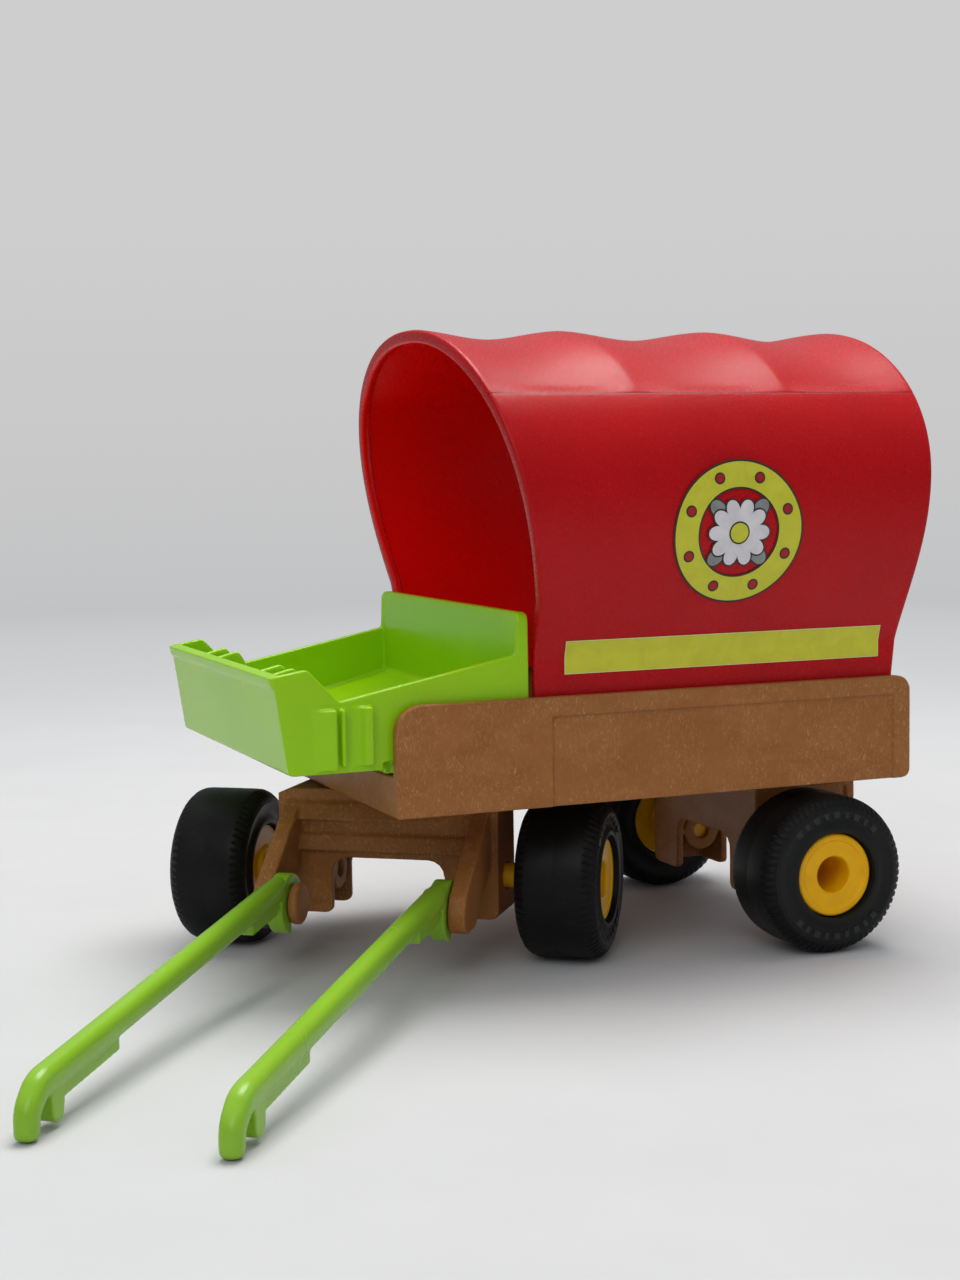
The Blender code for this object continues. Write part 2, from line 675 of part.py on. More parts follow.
def sheet(name, side, rows):
    """Thin sheet from a grid of (y, height) on the cover's side."""
    wide = len(rows[0])
    verts = []
    for lift in (STICKER_GAP, STICKER_GAP + STICKER_T):
        for row in rows:
            verts += [side_point(side, y, h, lift) for y, h in row]
    size = wide * len(rows)
    faces = []
    for j in range(len(rows) - 1):
        for i in range(wide - 1):
            a = j * wide + i
            quad = (a, a + 1, a + wide + 1, a + wide)
            faces += [quad, tuple(size + k for k in reversed(quad))]
    for j in (0, len(rows) - 1):
        for i in range(wide - 1):
            a = j * wide + i
            faces.append((a, a + 1, size + a + 1, size + a))
    for i in (0, wide - 1):
        for j in range(len(rows) - 1):
            a = j * wide + i
            faces.append((a, a + wide, size + a + wide, size + a))
    return mesh_object(name, verts, faces)


def stripe(name, side, mat, parent):
    """Plain stripe along the cover's foot."""
    front, rear = COVER_FRONT + STRIPE_INSET, COVER_REAR - STRIPE_INSET + 3.0
    rows = []
    for s in range(5):
        h = STRIPE_LOW + STRIPE_H * s / 4
        rows.append([(front, h), ((front + rear) / 2, h), (rear, h)])
    return finish(sheet(name, side, rows), mat, parent)


def badge(name, side, mat, parent):
    """Round sticker on the bulge, cut to an oval."""
    mid_y = COVER_FRONT + BADGE_FROM_FRONT
    low, high = BADGE_MID_H - BADGE_R_ARC, BADGE_MID_H + BADGE_R_ARC
    high = min(high, COVER_H - 28.0)
    rows = []
    steps = 14
    for s in range(steps + 1):
        a = math.pi * (0.04 + 0.92 * s / steps)
        h = (low + high) / 2 - (high - low) / 2 * math.cos(a)
        reach = BADGE_R_Y * math.sin(a)
        rows.append([(mid_y + reach * t, h) for t in (-1, -0.33, 0.33, 1)])
    return finish(sheet(name, side, rows), mat, parent)


def hub(name, mat, parent, at, side):
    """Wheel hub with its stub axle; the outer face looks along side * x."""
    half = TYRE_W / 2
    face = half - HUB_RECESS
    inner = -half + HUB_INSET
    stub_end = -(half + WHEEL_TO_CHEEK + CHEEK_HALF - ARCH_HALF - BEARING_END - REST_GAP)
    ridge = -(half + WHEEL_TO_CHEEK + (CHEEK_HALF - ARCH_HALF - BEARING_END) / 2)
    waist = HUB_R - HUB_WAIST
    depth = min(SOCKET_DEPTH, TYRE_W - HUB_RECESS - SOCKET_FLOOR)
    profile = [
        (face - depth, SOCKET_R), (face, SOCKET_R),
        (face, HUB_R - HUB_RIM - 0.3), (face + HUB_RIM_RISE, HUB_R - HUB_RIM),
        (face + HUB_RIM_RISE, HUB_R - 0.3), (face, HUB_R), (face - HUB_FLANGE, HUB_R),
        (face - HUB_FLANGE - 0.6, waist), (inner + HUB_FLANGE + 0.6, waist),
        (inner + HUB_FLANGE, HUB_R), (inner, HUB_R), (inner, STUB_R), (ridge + 0.8, STUB_R),
        (ridge, STUB_R + SNAP_RISE), (ridge - 0.8, STUB_R), (stub_end, STUB_R)]
    profile = [(side * a, r) for a, r in profile]
    return finish(lathe(name, profile, 26), mat, parent, at)


def tyre(name, mat, parent, at):
    """Rubber tyre with round shoulders, held between the hub's flanges."""
    half = TYRE_W / 2
    seat = HUB_R - HUB_WAIST + TYRE_GAP
    flange = HUB_R + TYRE_GAP
    lip = HUB_FLANGE + 0.6 + TYRE_GAP
    lip_out, lip_in = half - HUB_RECESS - lip, -half + HUB_INSET + lip
    dish = half - TYRE_WALL_DISH
    low = flange + TYRE_BEAD
    s = TYRE_SHOULDER
    turn = [(half - s + s * math.sin(a), TYRE_R - s + s * math.cos(a))
            for a in (0.0, math.pi / 6, math.pi / 3, math.pi / 2)]
    right = turn + [(dish, low + 1.4), (half, low), (half, flange), (lip_out, flange),
                    (lip_out - 0.6, seat)]
    left = [(-a, r) for a, r in turn[::-1]]
    inner = [(lip_in + 0.6, seat), (lip_in, flange), (-half, flange), (-half, low),
             (-dish, low + 1.4)]
    return finish(lathe(name, right + inner + left, 36, closed=True), mat, parent, at)


def sweep(name, spine, wide, high):
    """Rounded bar along (y, z, width scale, height scale) spine points."""
    count = 14
    verts = []
    for k, (y, z, sw, sh) in enumerate(spine):
        before = spine[max(k - 1, 0)]
        after = spine[min(k + 1, len(spine) - 1)]
        run = Vector((after[0] - before[0], after[1] - before[1])).normalized()
        normal = Vector((-run.y, run.x))
        for s in range(count):
            a = 2 * math.pi * s / count
            u = math.copysign(abs(math.cos(a)) ** 0.8, math.cos(a)) * wide / 2 * sw
            v = math.copysign(abs(math.sin(a)) ** 0.8, math.sin(a)) * high / 2 * sh
            verts.append((u, y + normal.x * v, z + normal.y * v))
    faces = [tuple(range(count)), tuple(range(len(verts) - count, len(verts)))]
    for k in range(len(spine) - 1):
        for s in range(count):
            a, b = k * count + s, k * count + (s + 1) % count
            faces.append((a, b, b + count, a + count))
    return mesh_object(name, verts, faces)


def shaft(name, mat, parent, side):
    """One shaft about its hinge: open clip, bar, two-pronged foot, fins."""
    inner_r = PEG_R + RUN_GAP
    outer_r = inner_r + CLIP_WALL
    ground = FOOT_GAP - PEG_Z
    bend_y = -SHAFT_LEN
    bar_end = ground + PRONG + BAR_H / 2 + BEND_RISE
    slope = (BAR_LIFT - bar_end) / (SHAFT_LEN - 7.0)
    neck = (CLIP_T + 0.1) / BAR_W
    spine = [(3.4, BAR_LIFT - 1.5, 0.5 * neck, 0.42), (1.4, BAR_LIFT - 0.3, 0.85 * neck, 0.8),
             (-1.4, BAR_LIFT, neck, 1), (-4.0, BAR_LIFT - slope * 4, neck, 1),
             (-10.0, BAR_LIFT - slope * 10, 1, 1)]
    spine += [(-SHAFT_LEN * t, BAR_LIFT - slope * SHAFT_LEN * t, 1, 1) for t in (0.3, 0.6, 0.9)]
    spine += [(bend_y + 5.0, bar_end - 0.3, 1, 0.98), (bend_y + 2.2, bar_end - 1.9, 0.98, 0.92),
              (bend_y + 0.4, bar_end - 4.0, 0.95, 0.86), (bend_y, ground + 2.0, 0.92, 0.82),
              (bend_y, ground + 0.5, 0.86, 0.76), (bend_y, ground, 0.6, 0.5)]
    body = sweep(name, spine, BAR_W, BAR_H)
    open_from, open_to = math.radians(CLIP_OPEN[0]), math.radians(CLIP_OPEN[1])
    arc = []
    steps = 20
    for s in range(steps + 1):
        a = open_from + (2 * math.pi + open_to - open_from) * s / steps
        arc.append((outer_r * math.cos(a), outer_r * math.sin(a)))
    for s in range(steps, -1, -1):
        a = open_from + (2 * math.pi + open_to - open_from) * s / steps
        arc.append((inner_r * math.cos(a), inner_r * math.sin(a)))
    cut(body, rod("eye", inner_r, -BAR_W, BAR_W, "x"))
    add(body, prism("clip", arc, -CLIP_T / 2, CLIP_T / 2, "x"))

    def under(y, drop):
        return BAR_LIFT + slope * y - BAR_H / 2 - drop

    back = bend_y + BAR_H * 0.41 + PRONG_SLOT
    for low, high in ((-REAR_FIN[1], -REAR_FIN[0]), (back + PRONG / 2, bend_y + FRONT_FIN_END)):
        fin = [(low, under(low, FIN_DROP)), (high, under(high, FIN_DROP)),
               (high, under(high, -2.0)), (low, under(low, -2.0))]
        add(body, prism("fin", fin, -FIN_T / 2, FIN_T / 2, "x"))
    prong = rounded([(back, ground + 0.8, 1.8), (back + PRONG, ground + 0.8, 1.8),
                     (back + PRONG + 1.0, under(back + PRONG + 1.0, -2.0), 0),
                     (back - 0.6, under(back, -2.0), 0)], 4)
    add(body, prism("prong", prong, -BAR_W * 0.42, BAR_W * 0.42, "x"))
    x = side * (ARM_OUT - ARM_T - REST_GAP - CLIP_T / 2)
    return finish(body, mat, parent, (x, -PEG_FORWARD, PEG_Z))


def centre(root):
    """Put the middle of the whole toy's footprint at the origin."""
    bpy.context.view_layer.update()
    graph = bpy.context.evaluated_depsgraph_get()
    low, high = Vector((1e9,) * 3), Vector((-1e9,) * 3)
    for obj in bpy.data.objects:
        if obj.type != "MESH":
            continue
        shape = obj.evaluated_get(graph).to_mesh()
        for v in shape.vertices:
            p = obj.matrix_world @ v.co
            low = Vector(map(min, low, p))
            high = Vector(map(max, high, p))
    root.location = (-(low.x + high.x) / 2, -(low.y + high.y) / 2, -low.z)
    bpy.context.view_layer.update()


def main():
    """Build every piece."""
    remove_all()
    brown = material("brown_plastic", (0.22, 0.10, 0.045), 0.5)
    green = material("green_plastic", (0.23, 0.46, 0.02), 0.35)
    red = material("red_plastic", (0.33, 0.012, 0.014), 0.55)
    yellow = material("yellow_plastic", (0.75, 0.5, 0.01), 0.35)
    rubber = material("black_rubber", (0.012, 0.012, 0.013), 0.7)
    lime = material("lime_sticker", (0.42, 0.46, 0.06), 0.5)
    print_mat = material("printed_sticker", (0.6, 0.62, 0.4), 0.5)

    root = empty("carriage")
    wagon_bed(brown, root)
    rear_carrier(brown, root)
    seat_box(green, root)
    cover(red, root)
    for side, word in ((1, "left"), (-1, "right")):
        stripe("stripe_sticker_" + word, side, lime, root)
        badge("badge_sticker_" + word, side, print_mat, root)

    pivot = empty("steer_pivot", root, turn=STEER)
    front_bogie(brown, pivot)
    mid = CHEEK_HALF + WHEEL_TO_CHEEK + TYRE_W / 2
    for end, frame, y in (("front", pivot, 0.0), ("rear", root, WHEELBASE)):
        for side, word in ((1, "left"), (-1, "right")):
            at = (side * mid, y, AXLE_Z)
            hub("hub_%s_%s" % (end, word), yellow, frame, at, side)
            tyre("tyre_%s_%s" % (end, word), rubber, frame, at)
    for side, word in ((1, "left"), (-1, "right")):
        shaft("shaft_" + word, green, pivot, side)
    centre(root)


main()
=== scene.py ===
"""Looks for the toy covered wagon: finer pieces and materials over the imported
model, a pale sweep, soft light and the photograph's camera.

The wagon's lengths are in millimetres in its own frame, with the king pin at
x = y = 0, and to_world() turns them into the row frame's metres. The floor
and the lamps are in metres in the row frame. Angles are in degrees.
"""

import json
import math

import bmesh
import bpy
from mathutils import Matrix, Vector


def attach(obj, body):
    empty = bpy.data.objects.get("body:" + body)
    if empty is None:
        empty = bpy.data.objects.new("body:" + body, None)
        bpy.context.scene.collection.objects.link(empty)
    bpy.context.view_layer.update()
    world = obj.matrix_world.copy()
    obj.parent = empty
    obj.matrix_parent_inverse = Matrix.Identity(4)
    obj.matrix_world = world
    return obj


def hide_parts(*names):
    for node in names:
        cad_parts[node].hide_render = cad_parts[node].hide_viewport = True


MM = 0.001
SIDES = {"left": 1, "right": -1}
STEER = 52.2

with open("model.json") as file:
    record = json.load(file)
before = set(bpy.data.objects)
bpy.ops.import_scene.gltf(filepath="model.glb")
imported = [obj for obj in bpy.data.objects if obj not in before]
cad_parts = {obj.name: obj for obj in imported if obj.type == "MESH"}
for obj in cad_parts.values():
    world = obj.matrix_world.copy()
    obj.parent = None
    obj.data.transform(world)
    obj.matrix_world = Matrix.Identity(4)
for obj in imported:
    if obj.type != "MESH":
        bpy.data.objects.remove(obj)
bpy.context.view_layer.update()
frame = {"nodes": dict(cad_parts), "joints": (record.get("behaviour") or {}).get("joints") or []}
joints = {j["name"]: j for j in frame["joints"]}
ROOT = Vector(joints["steer"]["pos_m"][:2] + [0.0])
BOGIE_TURN = Matrix.Rotation(math.radians(STEER), 3, "Z")

# Wheels
WHEEL_X = 41.1
WHEELBASE = 87.1
TYRE_R = 18.0
TYRE_W = 18.8
TEETH = 64
TOOTH_STEPS = 6
TOOTH_DEPTH = 0.40
SHOULDER_H = 1.6
SHOULDER_W = 1.95
WALL_DIP = 0.62
# Reach in from a tyre's faces that takes the lighter rubber of painted light
WALL_LIGHT_EDGE = 0.7
HUB_R = 9.4
HUB_DIP = 1.6
HUB_RIM = 0.35
HUB_STEPS = 96
SOCKET_R = 4.1
SOCKET_DEPTH = 12.5
STUB_R = 2.8
STUB_END = -25.9
SNAP_AT = -22.8
SNAP_HALF = 0.8
SNAP_RISE = 0.3

# Raised dashes on the tyres, with two half widths in turn
DASHES = 9
DASH_START = -44.0
DASH_PITCH = 11.0
DASH_HALF = (3.2, 2.2)
DASH_LIFTS = (-0.25, 0.42)
DASH_RADII = (13.1, 14.9)

# Tilt cover
BED_TOP = 62.0
COVER_T = 1.8
COVER_BASE_HALF = 43.4
COVER_TONGUE = 3.0
COVER_BULGE = 8.4
COVER_BULGE_H = 40.0
COVER_BULGE_POWER = 1.15
COVER_STRAIGHT_H = 8.0
COVER_H = 80.18
COVER_ROOF_POWER = 2.15
COVER_SAG = 2.1
COVER_HOOPS = (0.0, 0.33, 0.68, 1.0)
OUTER_ONSET = 6.0
INNER_ONSET = 3.5
COVER_FRONT = 16.4
COVER_REAR = 106.09
COVER_LEAN_FRONT = 0.2
COVER_LEAN_FROM = 19.2
COVER_LEAN_REAR = 0.117
COVER_LEAN_END = 56.0
COVER_LEAN_BEND = 16.0

# Cover rims, their rows and rounding by share of the cover's length
COVER_BEAD = 1.3
BEAD_FOOT = 6.0
BEAD_RUN = 10.0
COVER_RIM = 0.024
RIM_ROWS = (0.0, 0.0012, 0.0035, 0.0075, 0.012, 0.017, 0.021, 0.0235, COVER_RIM)
RIM_ROUND = {0.0: 0.60, 0.0012: 0.32, 0.0035: 0.12}

# Cover seam: a fine groove with a dark strip of painted shade along it, and mesh rows
COVER_SEAM_H = 64.5
SEAM_DEPTH = 0.07
SEAM_HALF = 0.22
# Half height of the dark strip of painted shade along the seam groove
SEAM_SHADE_STRIP = 0.14
SEAM_ROWS = (-0.5, -0.25, -0.12, 0.0, 0.12, 0.25, 0.5)
FOOT_GAP = 0.1
FOOT_STEP = 0.9
BULGE_ROWS = 28
ROOF_ROWS = 48
COVER_ROWS = 126

# Shafts
PEG_Z = 14.8
FLOOR_GAP = 0.15
EYE_R = 3.1
CLIP_WALL = 3.6
CLIP_T = 3.8
CLIP_OPEN = (-2.0, -100.0)
CLIP_STEPS = 60
BAR_W = 4.6
BAR_H = 5.3
BAR_LIFT = 4.5
BAR_POWER = 0.8
BAR_STEPS = 40
SHAFT_LEN = 120.2
TIP_GAP = 0.08
BEND_RISE = 1.6
BEND_RUN = 7.0
PRONG = 4.3
PRONG_SLOT = 3.6
PRONG_HALF_W = 0.42 * BAR_W
PRONG_STEPS = 16
FIN_T = 3.0
FIN_DROP = 2.1
REAR_FIN = (8.4, 22.4)
FRONT_FIN_END = 32.8
SUNK = 2.0

# Stickers
FILM_T = 0.05
FILM_LIFT = 0.20
FACE_LIFT = 0.26
STRIPE = (23.4, 102.1, 4.4, 11.7)
STRIPE_EDGE = 0.16
STRIPE_CELLS = (60, 8)
BADGE_Y = 61.7
BADGE_H = 34.0
BADGE_R = 15.9
BADGE_EDGE = 0.45
PRINT_T = 0.03
PRINT_EDGE = 0.35
RING_T = 0.04
RING_HOLE = 0.625
RING_POINTS = 96
DOTS = 8
DOT_RING = 0.805 * BADGE_R
DOT_R = 0.95
DOT_POINTS = 20
HEART_R = 2.15
HEART_POINTS = 40
WELD = 2e-6

# Leaves and petals: how many, first angle, near and far reach, width
LEAVES = (4, 45.0, 3.0, 9.6, 3.2)
PETALS = (10, 0.0, 1.6, 7.4, 3.1)
PETAL_TAPER = 0.28
PETAL_POINTS = 30

# Soft mouldings: cell width, smoothing passes, share of faces kept
SOFT_FRAME = (0.30, 4, 0.15)
SOFT_BED = (0.30, 2, 0.12)
SOFT_SEAT = (0.30, 9, 0.16)
SOFT_SHAFT = (0.21, 10, 0.30)

# Camera: its place, its yaw, pitch and roll, and the photograph's focal length
CAMERA_AT = (442.5, -157.2, 112.4)
CAMERA_ANGLES = (22.0, 5.0, -0.9)
FOCAL_PIXELS = 2050.0
PHOTO_PIXELS = 1280.0
SENSOR = 36.0

# Floor and backdrop
FLOOR_REACH = 2.4
FLOOR_POWER = 1.6
FLOOR_DROP = 0.0002
FLOOR_RINGS = 24
FLOOR_STEPS = 72
SWEEP_FROM = 1.35
SWEEP_CURL = 0.9
GLOW_FROM, GLOW_FULL = 0.30, 0.95
SHADE_FROM, SHADE_END = 0.45, 2.6
SHADE_RISE = 1.6
SHADES = [(0.0, (0.690, 0.700, 0.715)), (0.35, (0.535, 0.540, 0.548)),
          (1.0, (0.620, 0.615, 0.620))]

# Lamps: place, size, watts, colour
LAMP_AIM = (0, 0, 0.05)
OVERHEAD = ((-0.22, 0.14, 1.0), (0.60, 0.54), 9.9, (1.0, 0.99, 0.97))
FRONT_FILL = ((1.0, -0.8, 1.05), (0.9, 0.9), 5.9, (0.97, 0.98, 1.0))

# Room
ROOM_NEAR = (0.10, 0.10, 0.11)
ROOM_AWAY = (0.42, 0.42, 0.44)
ROOM_TOP = (0.80, 0.80, 0.83)
ROOM_SEEN = (0.483, 0.483, 0.492)
ROOM_STRENGTH = 0.69


def to_world(p):
    """A point of the wagon's frame in millimetres, as metres in the row frame."""
    return ROOT + Vector(p) * MM


# Node helpers


def nodes_of(name, ior=1.45):
    """A new material with its node tree and shader."""
    mat = bpy.data.materials.new(name)
    mat.use_nodes = True
    tree = mat.node_tree
    shader = tree.nodes["Principled BSDF"]
    shader.inputs["IOR"].default_value = ior
    return mat, tree, shader


def clouds(tree, scale, detail=3.0, rough=0.5, distort=0.0, stretch=(1, 1, 1)):
    """A noise texture over object coordinates counted in millimetres."""
    coords = tree.nodes.new("ShaderNodeTexCoord")
    mapping = tree.nodes.new("ShaderNodeMapping")
    mapping.inputs["Scale"].default_value = [s / MM for s in stretch]
    tree.links.new(coords.outputs["Object"], mapping.inputs["Vector"])
    node = tree.nodes.new("ShaderNodeTexNoise")
    node.inputs["Scale"].default_value = scale
    node.inputs["Detail"].default_value = detail
    node.inputs["Roughness"].default_value = rough
    node.inputs["Distortion"].default_value = distort
    tree.links.new(mapping.outputs["Vector"], node.inputs["Vector"])
    return node.outputs[0]


def ramp(tree, source, stops):
    """A colour ramp from (place, grey or colour) stops."""
    node = tree.nodes.new("ShaderNodeValToRGB")
    elements = node.color_ramp.elements
    while len(elements) < len(stops):
        elements.new(0.5)
    for element, (place, value) in zip(elements, stops):
        element.position = place
        colour = value if isinstance(value, tuple) else (value,) * 3
        element.color = (*colour, 1.0)
    tree.links.new(source, node.inputs["Fac"])
    return node.outputs["Color"]


def between(tree, source, low, high):
    """From low to high over the middle of a texture's values."""
    return ramp(tree, source, [(0.3, low), (0.7, high)])


def mix(tree, factor, a, b):
    """Mix two colours, each a constant or an output, by a factor output."""
    node = tree.nodes.new("ShaderNodeMix")
    node.data_type = "RGBA"
    tree.links.new(factor, node.inputs[0])
    for socket, value in ((node.inputs[6], a), (node.inputs[7], b)):
        if isinstance(value, tuple):
            socket.default_value = (*value, 1.0)
        else:
            tree.links.new(value, socket)
    return node.outputs[2]


def finish(tree, shader, colour, rough):
    """Give the shader its colour and its roughness."""
    tree.links.new(colour, shader.inputs["Base Color"])
    tree.links.new(rough, shader.inputs["Roughness"])


def bump(tree, shader, height, strength, distance):
    """Bump from a height output; distance is in millimetres."""
    node = tree.nodes.new("ShaderNodeBump")
    node.inputs["Strength"].default_value = strength
    node.inputs["Distance"].default_value = distance * MM
    tree.links.new(height, node.inputs["Height"])
    tree.links.new(node.outputs["Normal"], shader.inputs["Normal"])


def scuffs(tree, scale, most):
    """Share of fine rubbed streaks, in loose patches."""
    streaks = clouds(tree, scale, detail=6.0, rough=0.8, distort=0.4, stretch=(1.0, 0.25, 0.6))
    patches = clouds(tree, scale * 0.06, detail=2.0, distort=0.8)
    return mix(tree, ramp(tree, patches, [(0.45, 0.0), (0.65, 1.0)]), (0.0, 0.0, 0.0),
               ramp(tree, streaks, [(0.58, 0.0), (0.74, most)]))


# Materials


def brown_plastic():
    """Brown plastic with fine light flecks drawn out in swirls."""
    mat, tree, shader = nodes_of("brown_plastic_look", ior=1.22)
    swirl = clouds(tree, 0.07, detail=4.0, rough=0.60, distort=1.2, stretch=(1.0, 0.8, 1.4))
    base = between(tree, swirl, (0.275, 0.104, 0.027), (0.345, 0.140, 0.043))
    fleck = clouds(tree, 1.2, detail=6.0, rough=0.78, distort=1.6, stretch=(1.0, 1.5, 0.6))
    spots = ramp(tree, fleck, [(0.53, 0.0), (0.66, 0.80)])
    patches = clouds(tree, 0.05, rough=0.6, distort=1.0)
    patchy = ramp(tree, patches, [(0.38, 0.25), (0.58, 1.0)])
    shown = mix(tree, patchy, (0.0, 0.0, 0.0), spots)
    colour = mix(tree, shown, base, (0.58, 0.34, 0.18))
    finish(tree, shader, colour, between(tree, fleck, 0.34, 0.50))
    bump(tree, shader, fleck, 0.22, 0.05)
    return mat


def green_plastic(name, low, high, worn):
    """Glossy apple-green plastic with faint flow lines and scuffs."""
    mat, tree, shader = nodes_of(name, ior=1.36)
    colour = between(tree, clouds(tree, 0.03, detail=2.0, rough=0.4, distort=0.3), low, high)
    colour = mix(tree, scuffs(tree, 2.6, worn), colour, (0.52, 0.74, 0.24))
    smear = clouds(tree, 0.10, detail=5.0, rough=0.6, distort=0.8, stretch=(0.5, 1.0, 0.25))
    finish(tree, shader, colour, between(tree, smear, 0.22, 0.28))
    bump(tree, shader, clouds(tree, 0.16, detail=2.0, rough=0.4), 0.06, 0.03)
    return mat


def red_plastic(name, low, high, speck):
    """Red plastic with a fine grain and light specks."""
    mat, tree, shader = nodes_of(name, ior=1.27)
    colour = between(tree, clouds(tree, 0.04, distort=0.4), low, high)
    dust = clouds(tree, 1.1, detail=4.0, rough=0.75)
    colour = mix(tree, ramp(tree, dust, [(0.60, 0.0), (0.74, speck)]), colour, (0.74, 0.06, 0.06))
    grain = clouds(tree, 1.9, detail=4.0, rough=0.7)
    finish(tree, shader, colour, between(tree, grain, 0.19, 0.34))
    bump(tree, shader, grain, 0.90, 0.09)
    return mat


def yellow_plastic():
    """Warm yellow plastic, slightly satin."""
    mat, tree, shader = nodes_of("yellow_plastic_look", ior=1.28)
    cloud = clouds(tree, 0.25)
    colour = between(tree, cloud, (0.80, 0.405, 0.001), (0.88, 0.46, 0.002))
    finish(tree, shader, colour, between(tree, cloud, 0.28, 0.40))
    bump(tree, shader, clouds(tree, 1.2), 0.2, 0.03)
    return mat


def black_rubber(name, low, high):
    """Black rubber with a dusty bloom and a fine moulded grain."""
    mat, tree, shader = nodes_of(name, ior=1.22)
    cloud = clouds(tree, 0.12, detail=5.0, rough=0.65, distort=0.8)
    colour = between(tree, cloud, low, high)
    colour = mix(tree, scuffs(tree, 0.8, 0.5), colour, (0.034, 0.035, 0.035))
    finish(tree, shader, colour, between(tree, cloud, 0.36, 0.52))
    bump(tree, shader, clouds(tree, 1.6, detail=4.0), 0.30, 0.04)
    return mat


def film(name, light, dark):
    """Printed sticker film with faint rubbed patches."""
    mat, tree, shader = nodes_of(name, ior=1.36)
    rub = clouds(tree, 0.22, detail=6.0, rough=0.7, distort=0.6)
    colour = ramp(tree, rub, [(0.35, dark), (0.65, light)])
    finish(tree, shader, colour, between(tree, rub, 0.38, 0.52))
    bump(tree, shader, rub, 0.1, 0.03)
    return mat


def plastics():
    """The plastics and rubbers by their use."""
    return {
        "brown": brown_plastic(),
        "seat": green_plastic("green_plastic_look", (0.285, 0.580, 0.002),
                              (0.310, 0.620, 0.003), 0.2),
        "shaft": green_plastic("shaft_green_look", (0.225, 0.450, 0.020),
                               (0.250, 0.490, 0.030), 0.6),
        "cover": red_plastic("red_plastic_look", (0.415, 0.001, 0.003),
                             (0.470, 0.002, 0.005), 0.42),
        # Painted light: a much lighter copy of the cover's red for its inside faces, to brighten
        # the inside
        "inside_painted_light": red_plastic("red_inside_painted_light", (0.74, 0.001, 0.001),
                              (0.78, 0.001, 0.001), 0.05),
        # Painted shade: a dark copy of the cover's red on the seam groove, where shade falls
        "seam_shade": red_plastic("red_seam_painted_shade", (0.12, 0.001, 0.002),
                            (0.16, 0.001, 0.002), 0.10),
        "hub": yellow_plastic(),
        "tread": black_rubber("black_rubber_look", (0.0042, 0.0045, 0.0043),
                              (0.0080, 0.0083, 0.0081)),
        # Painted light: a lighter copy of the tread's rubber for the tyre walls, which face the
        # light
        "wall": black_rubber("rubber_wall_look", (0.010, 0.0104, 0.0102),
                             (0.015, 0.0154, 0.0152)),
        # Painted highlight: a lighter rubber for the raised dashes, standing in for the light
        # their relief catches
        "dash_highlight": black_rubber("rubber_dash_painted_highlight", (0.024, 0.025, 0.025),
                               (0.034, 0.035, 0.035)),
    }


def prints():
    """The sticker films by their colour."""
    return {
        "lime": film("lime_film", (0.60, 0.60, 0.040), (0.53, 0.53, 0.032)),
        "pale": film("pale_film_edge", (0.75, 0.78, 0.42), (0.66, 0.70, 0.36)),
        "black": film("black_print", (0.030, 0.030, 0.032), (0.020, 0.020, 0.022)),
        "white": film("white_print", (0.74, 0.72, 0.74), (0.62, 0.60, 0.62)),
        "grey": film("grey_print", (0.27, 0.30, 0.28), (0.20, 0.22, 0.21)),
        "red": film("red_print", (0.40, 0.012, 0.016), (0.33, 0.010, 0.013)),
    }


# Mesh helpers


def mesh_piece(name, verts, faces, mat, body, smooth=40.0):
    """A mesh object from world points, riding on a body.

    Faces that meet at less than the angle are shaded smooth.
    """
    mesh = bpy.data.meshes.new(name)
    mesh.from_pydata([tuple(v) for v in verts], [], faces)
    bm = bmesh.new()
    bm.from_mesh(mesh)
    bmesh.ops.recalc_face_normals(bm, faces=bm.faces)
    bm.to_mesh(mesh)
    bm.free()
    mesh.shade_smooth()
    mesh.set_sharp_from_angle(angle=math.radians(smooth))
    mesh.materials.append(mat)
    obj = bpy.data.objects.new(name, mesh)
    bpy.context.collection.objects.link(obj)
    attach(obj, body)
    return obj


def ring_faces(count, steps, closed):
    """Quads between rings of points, with a cap at each end unless closed."""
    faces = []
    for k in range(count if closed else count - 1):
        here, other = k * steps, (k + 1) % count * steps
        for s in range(steps):
            nxt = (s + 1) % steps
            faces.append((here + s, here + nxt, other + nxt, other + s))
    if not closed:
        faces.append(tuple(range(steps)))
        faces.append(tuple(range((count - 1) * steps, count * steps)))
    return faces


def shell_faces(columns, rows):
    """Faces of a sheet between two grids of points, closed round its edges."""
    faces = []
    size = columns * rows
    for j in range(rows - 1):
        for i in range(columns - 1):
            a = j * columns + i
            quad = (a, a + 1, a + columns + 1, a + columns)
            faces.append(quad)
            faces.append(tuple(size + k for k in reversed(quad)))
    for j in (0, rows - 1):
        for i in range(columns - 1):
            a = j * columns + i
            faces.append((a, a + 1, size + a + 1, size + a))
    for i in (0, columns - 1):
        for j in range(rows - 1):
            a = j * columns + i
            faces.append((a, a + columns, size + a + columns, size + a))
    return faces


def fillet(profile, radii, steps=5):
    """Round the corners of an (along, radius) outline."""
    out = []
    for k, point in enumerate(profile):
        r = radii.get(k, 0.0)
        here = Vector(point)
        if r <= 0 or k in (0, len(profile) - 1):
            out.append(tuple(here))
            continue
        back, ahead = Vector(profile[k - 1]) - here, Vector(profile[k + 1]) - here
        reach = min(r, 0.45 * back.length, 0.45 * ahead.length)
        a, b = here + back.normalized() * reach, here + ahead.normalized() * reach
        for s in range(steps + 1):
            t = s / steps
            out.append(tuple(a * (1 - t) ** 2 + here * 2 * t * (1 - t) + b * t * t))
    return out


# Wheels


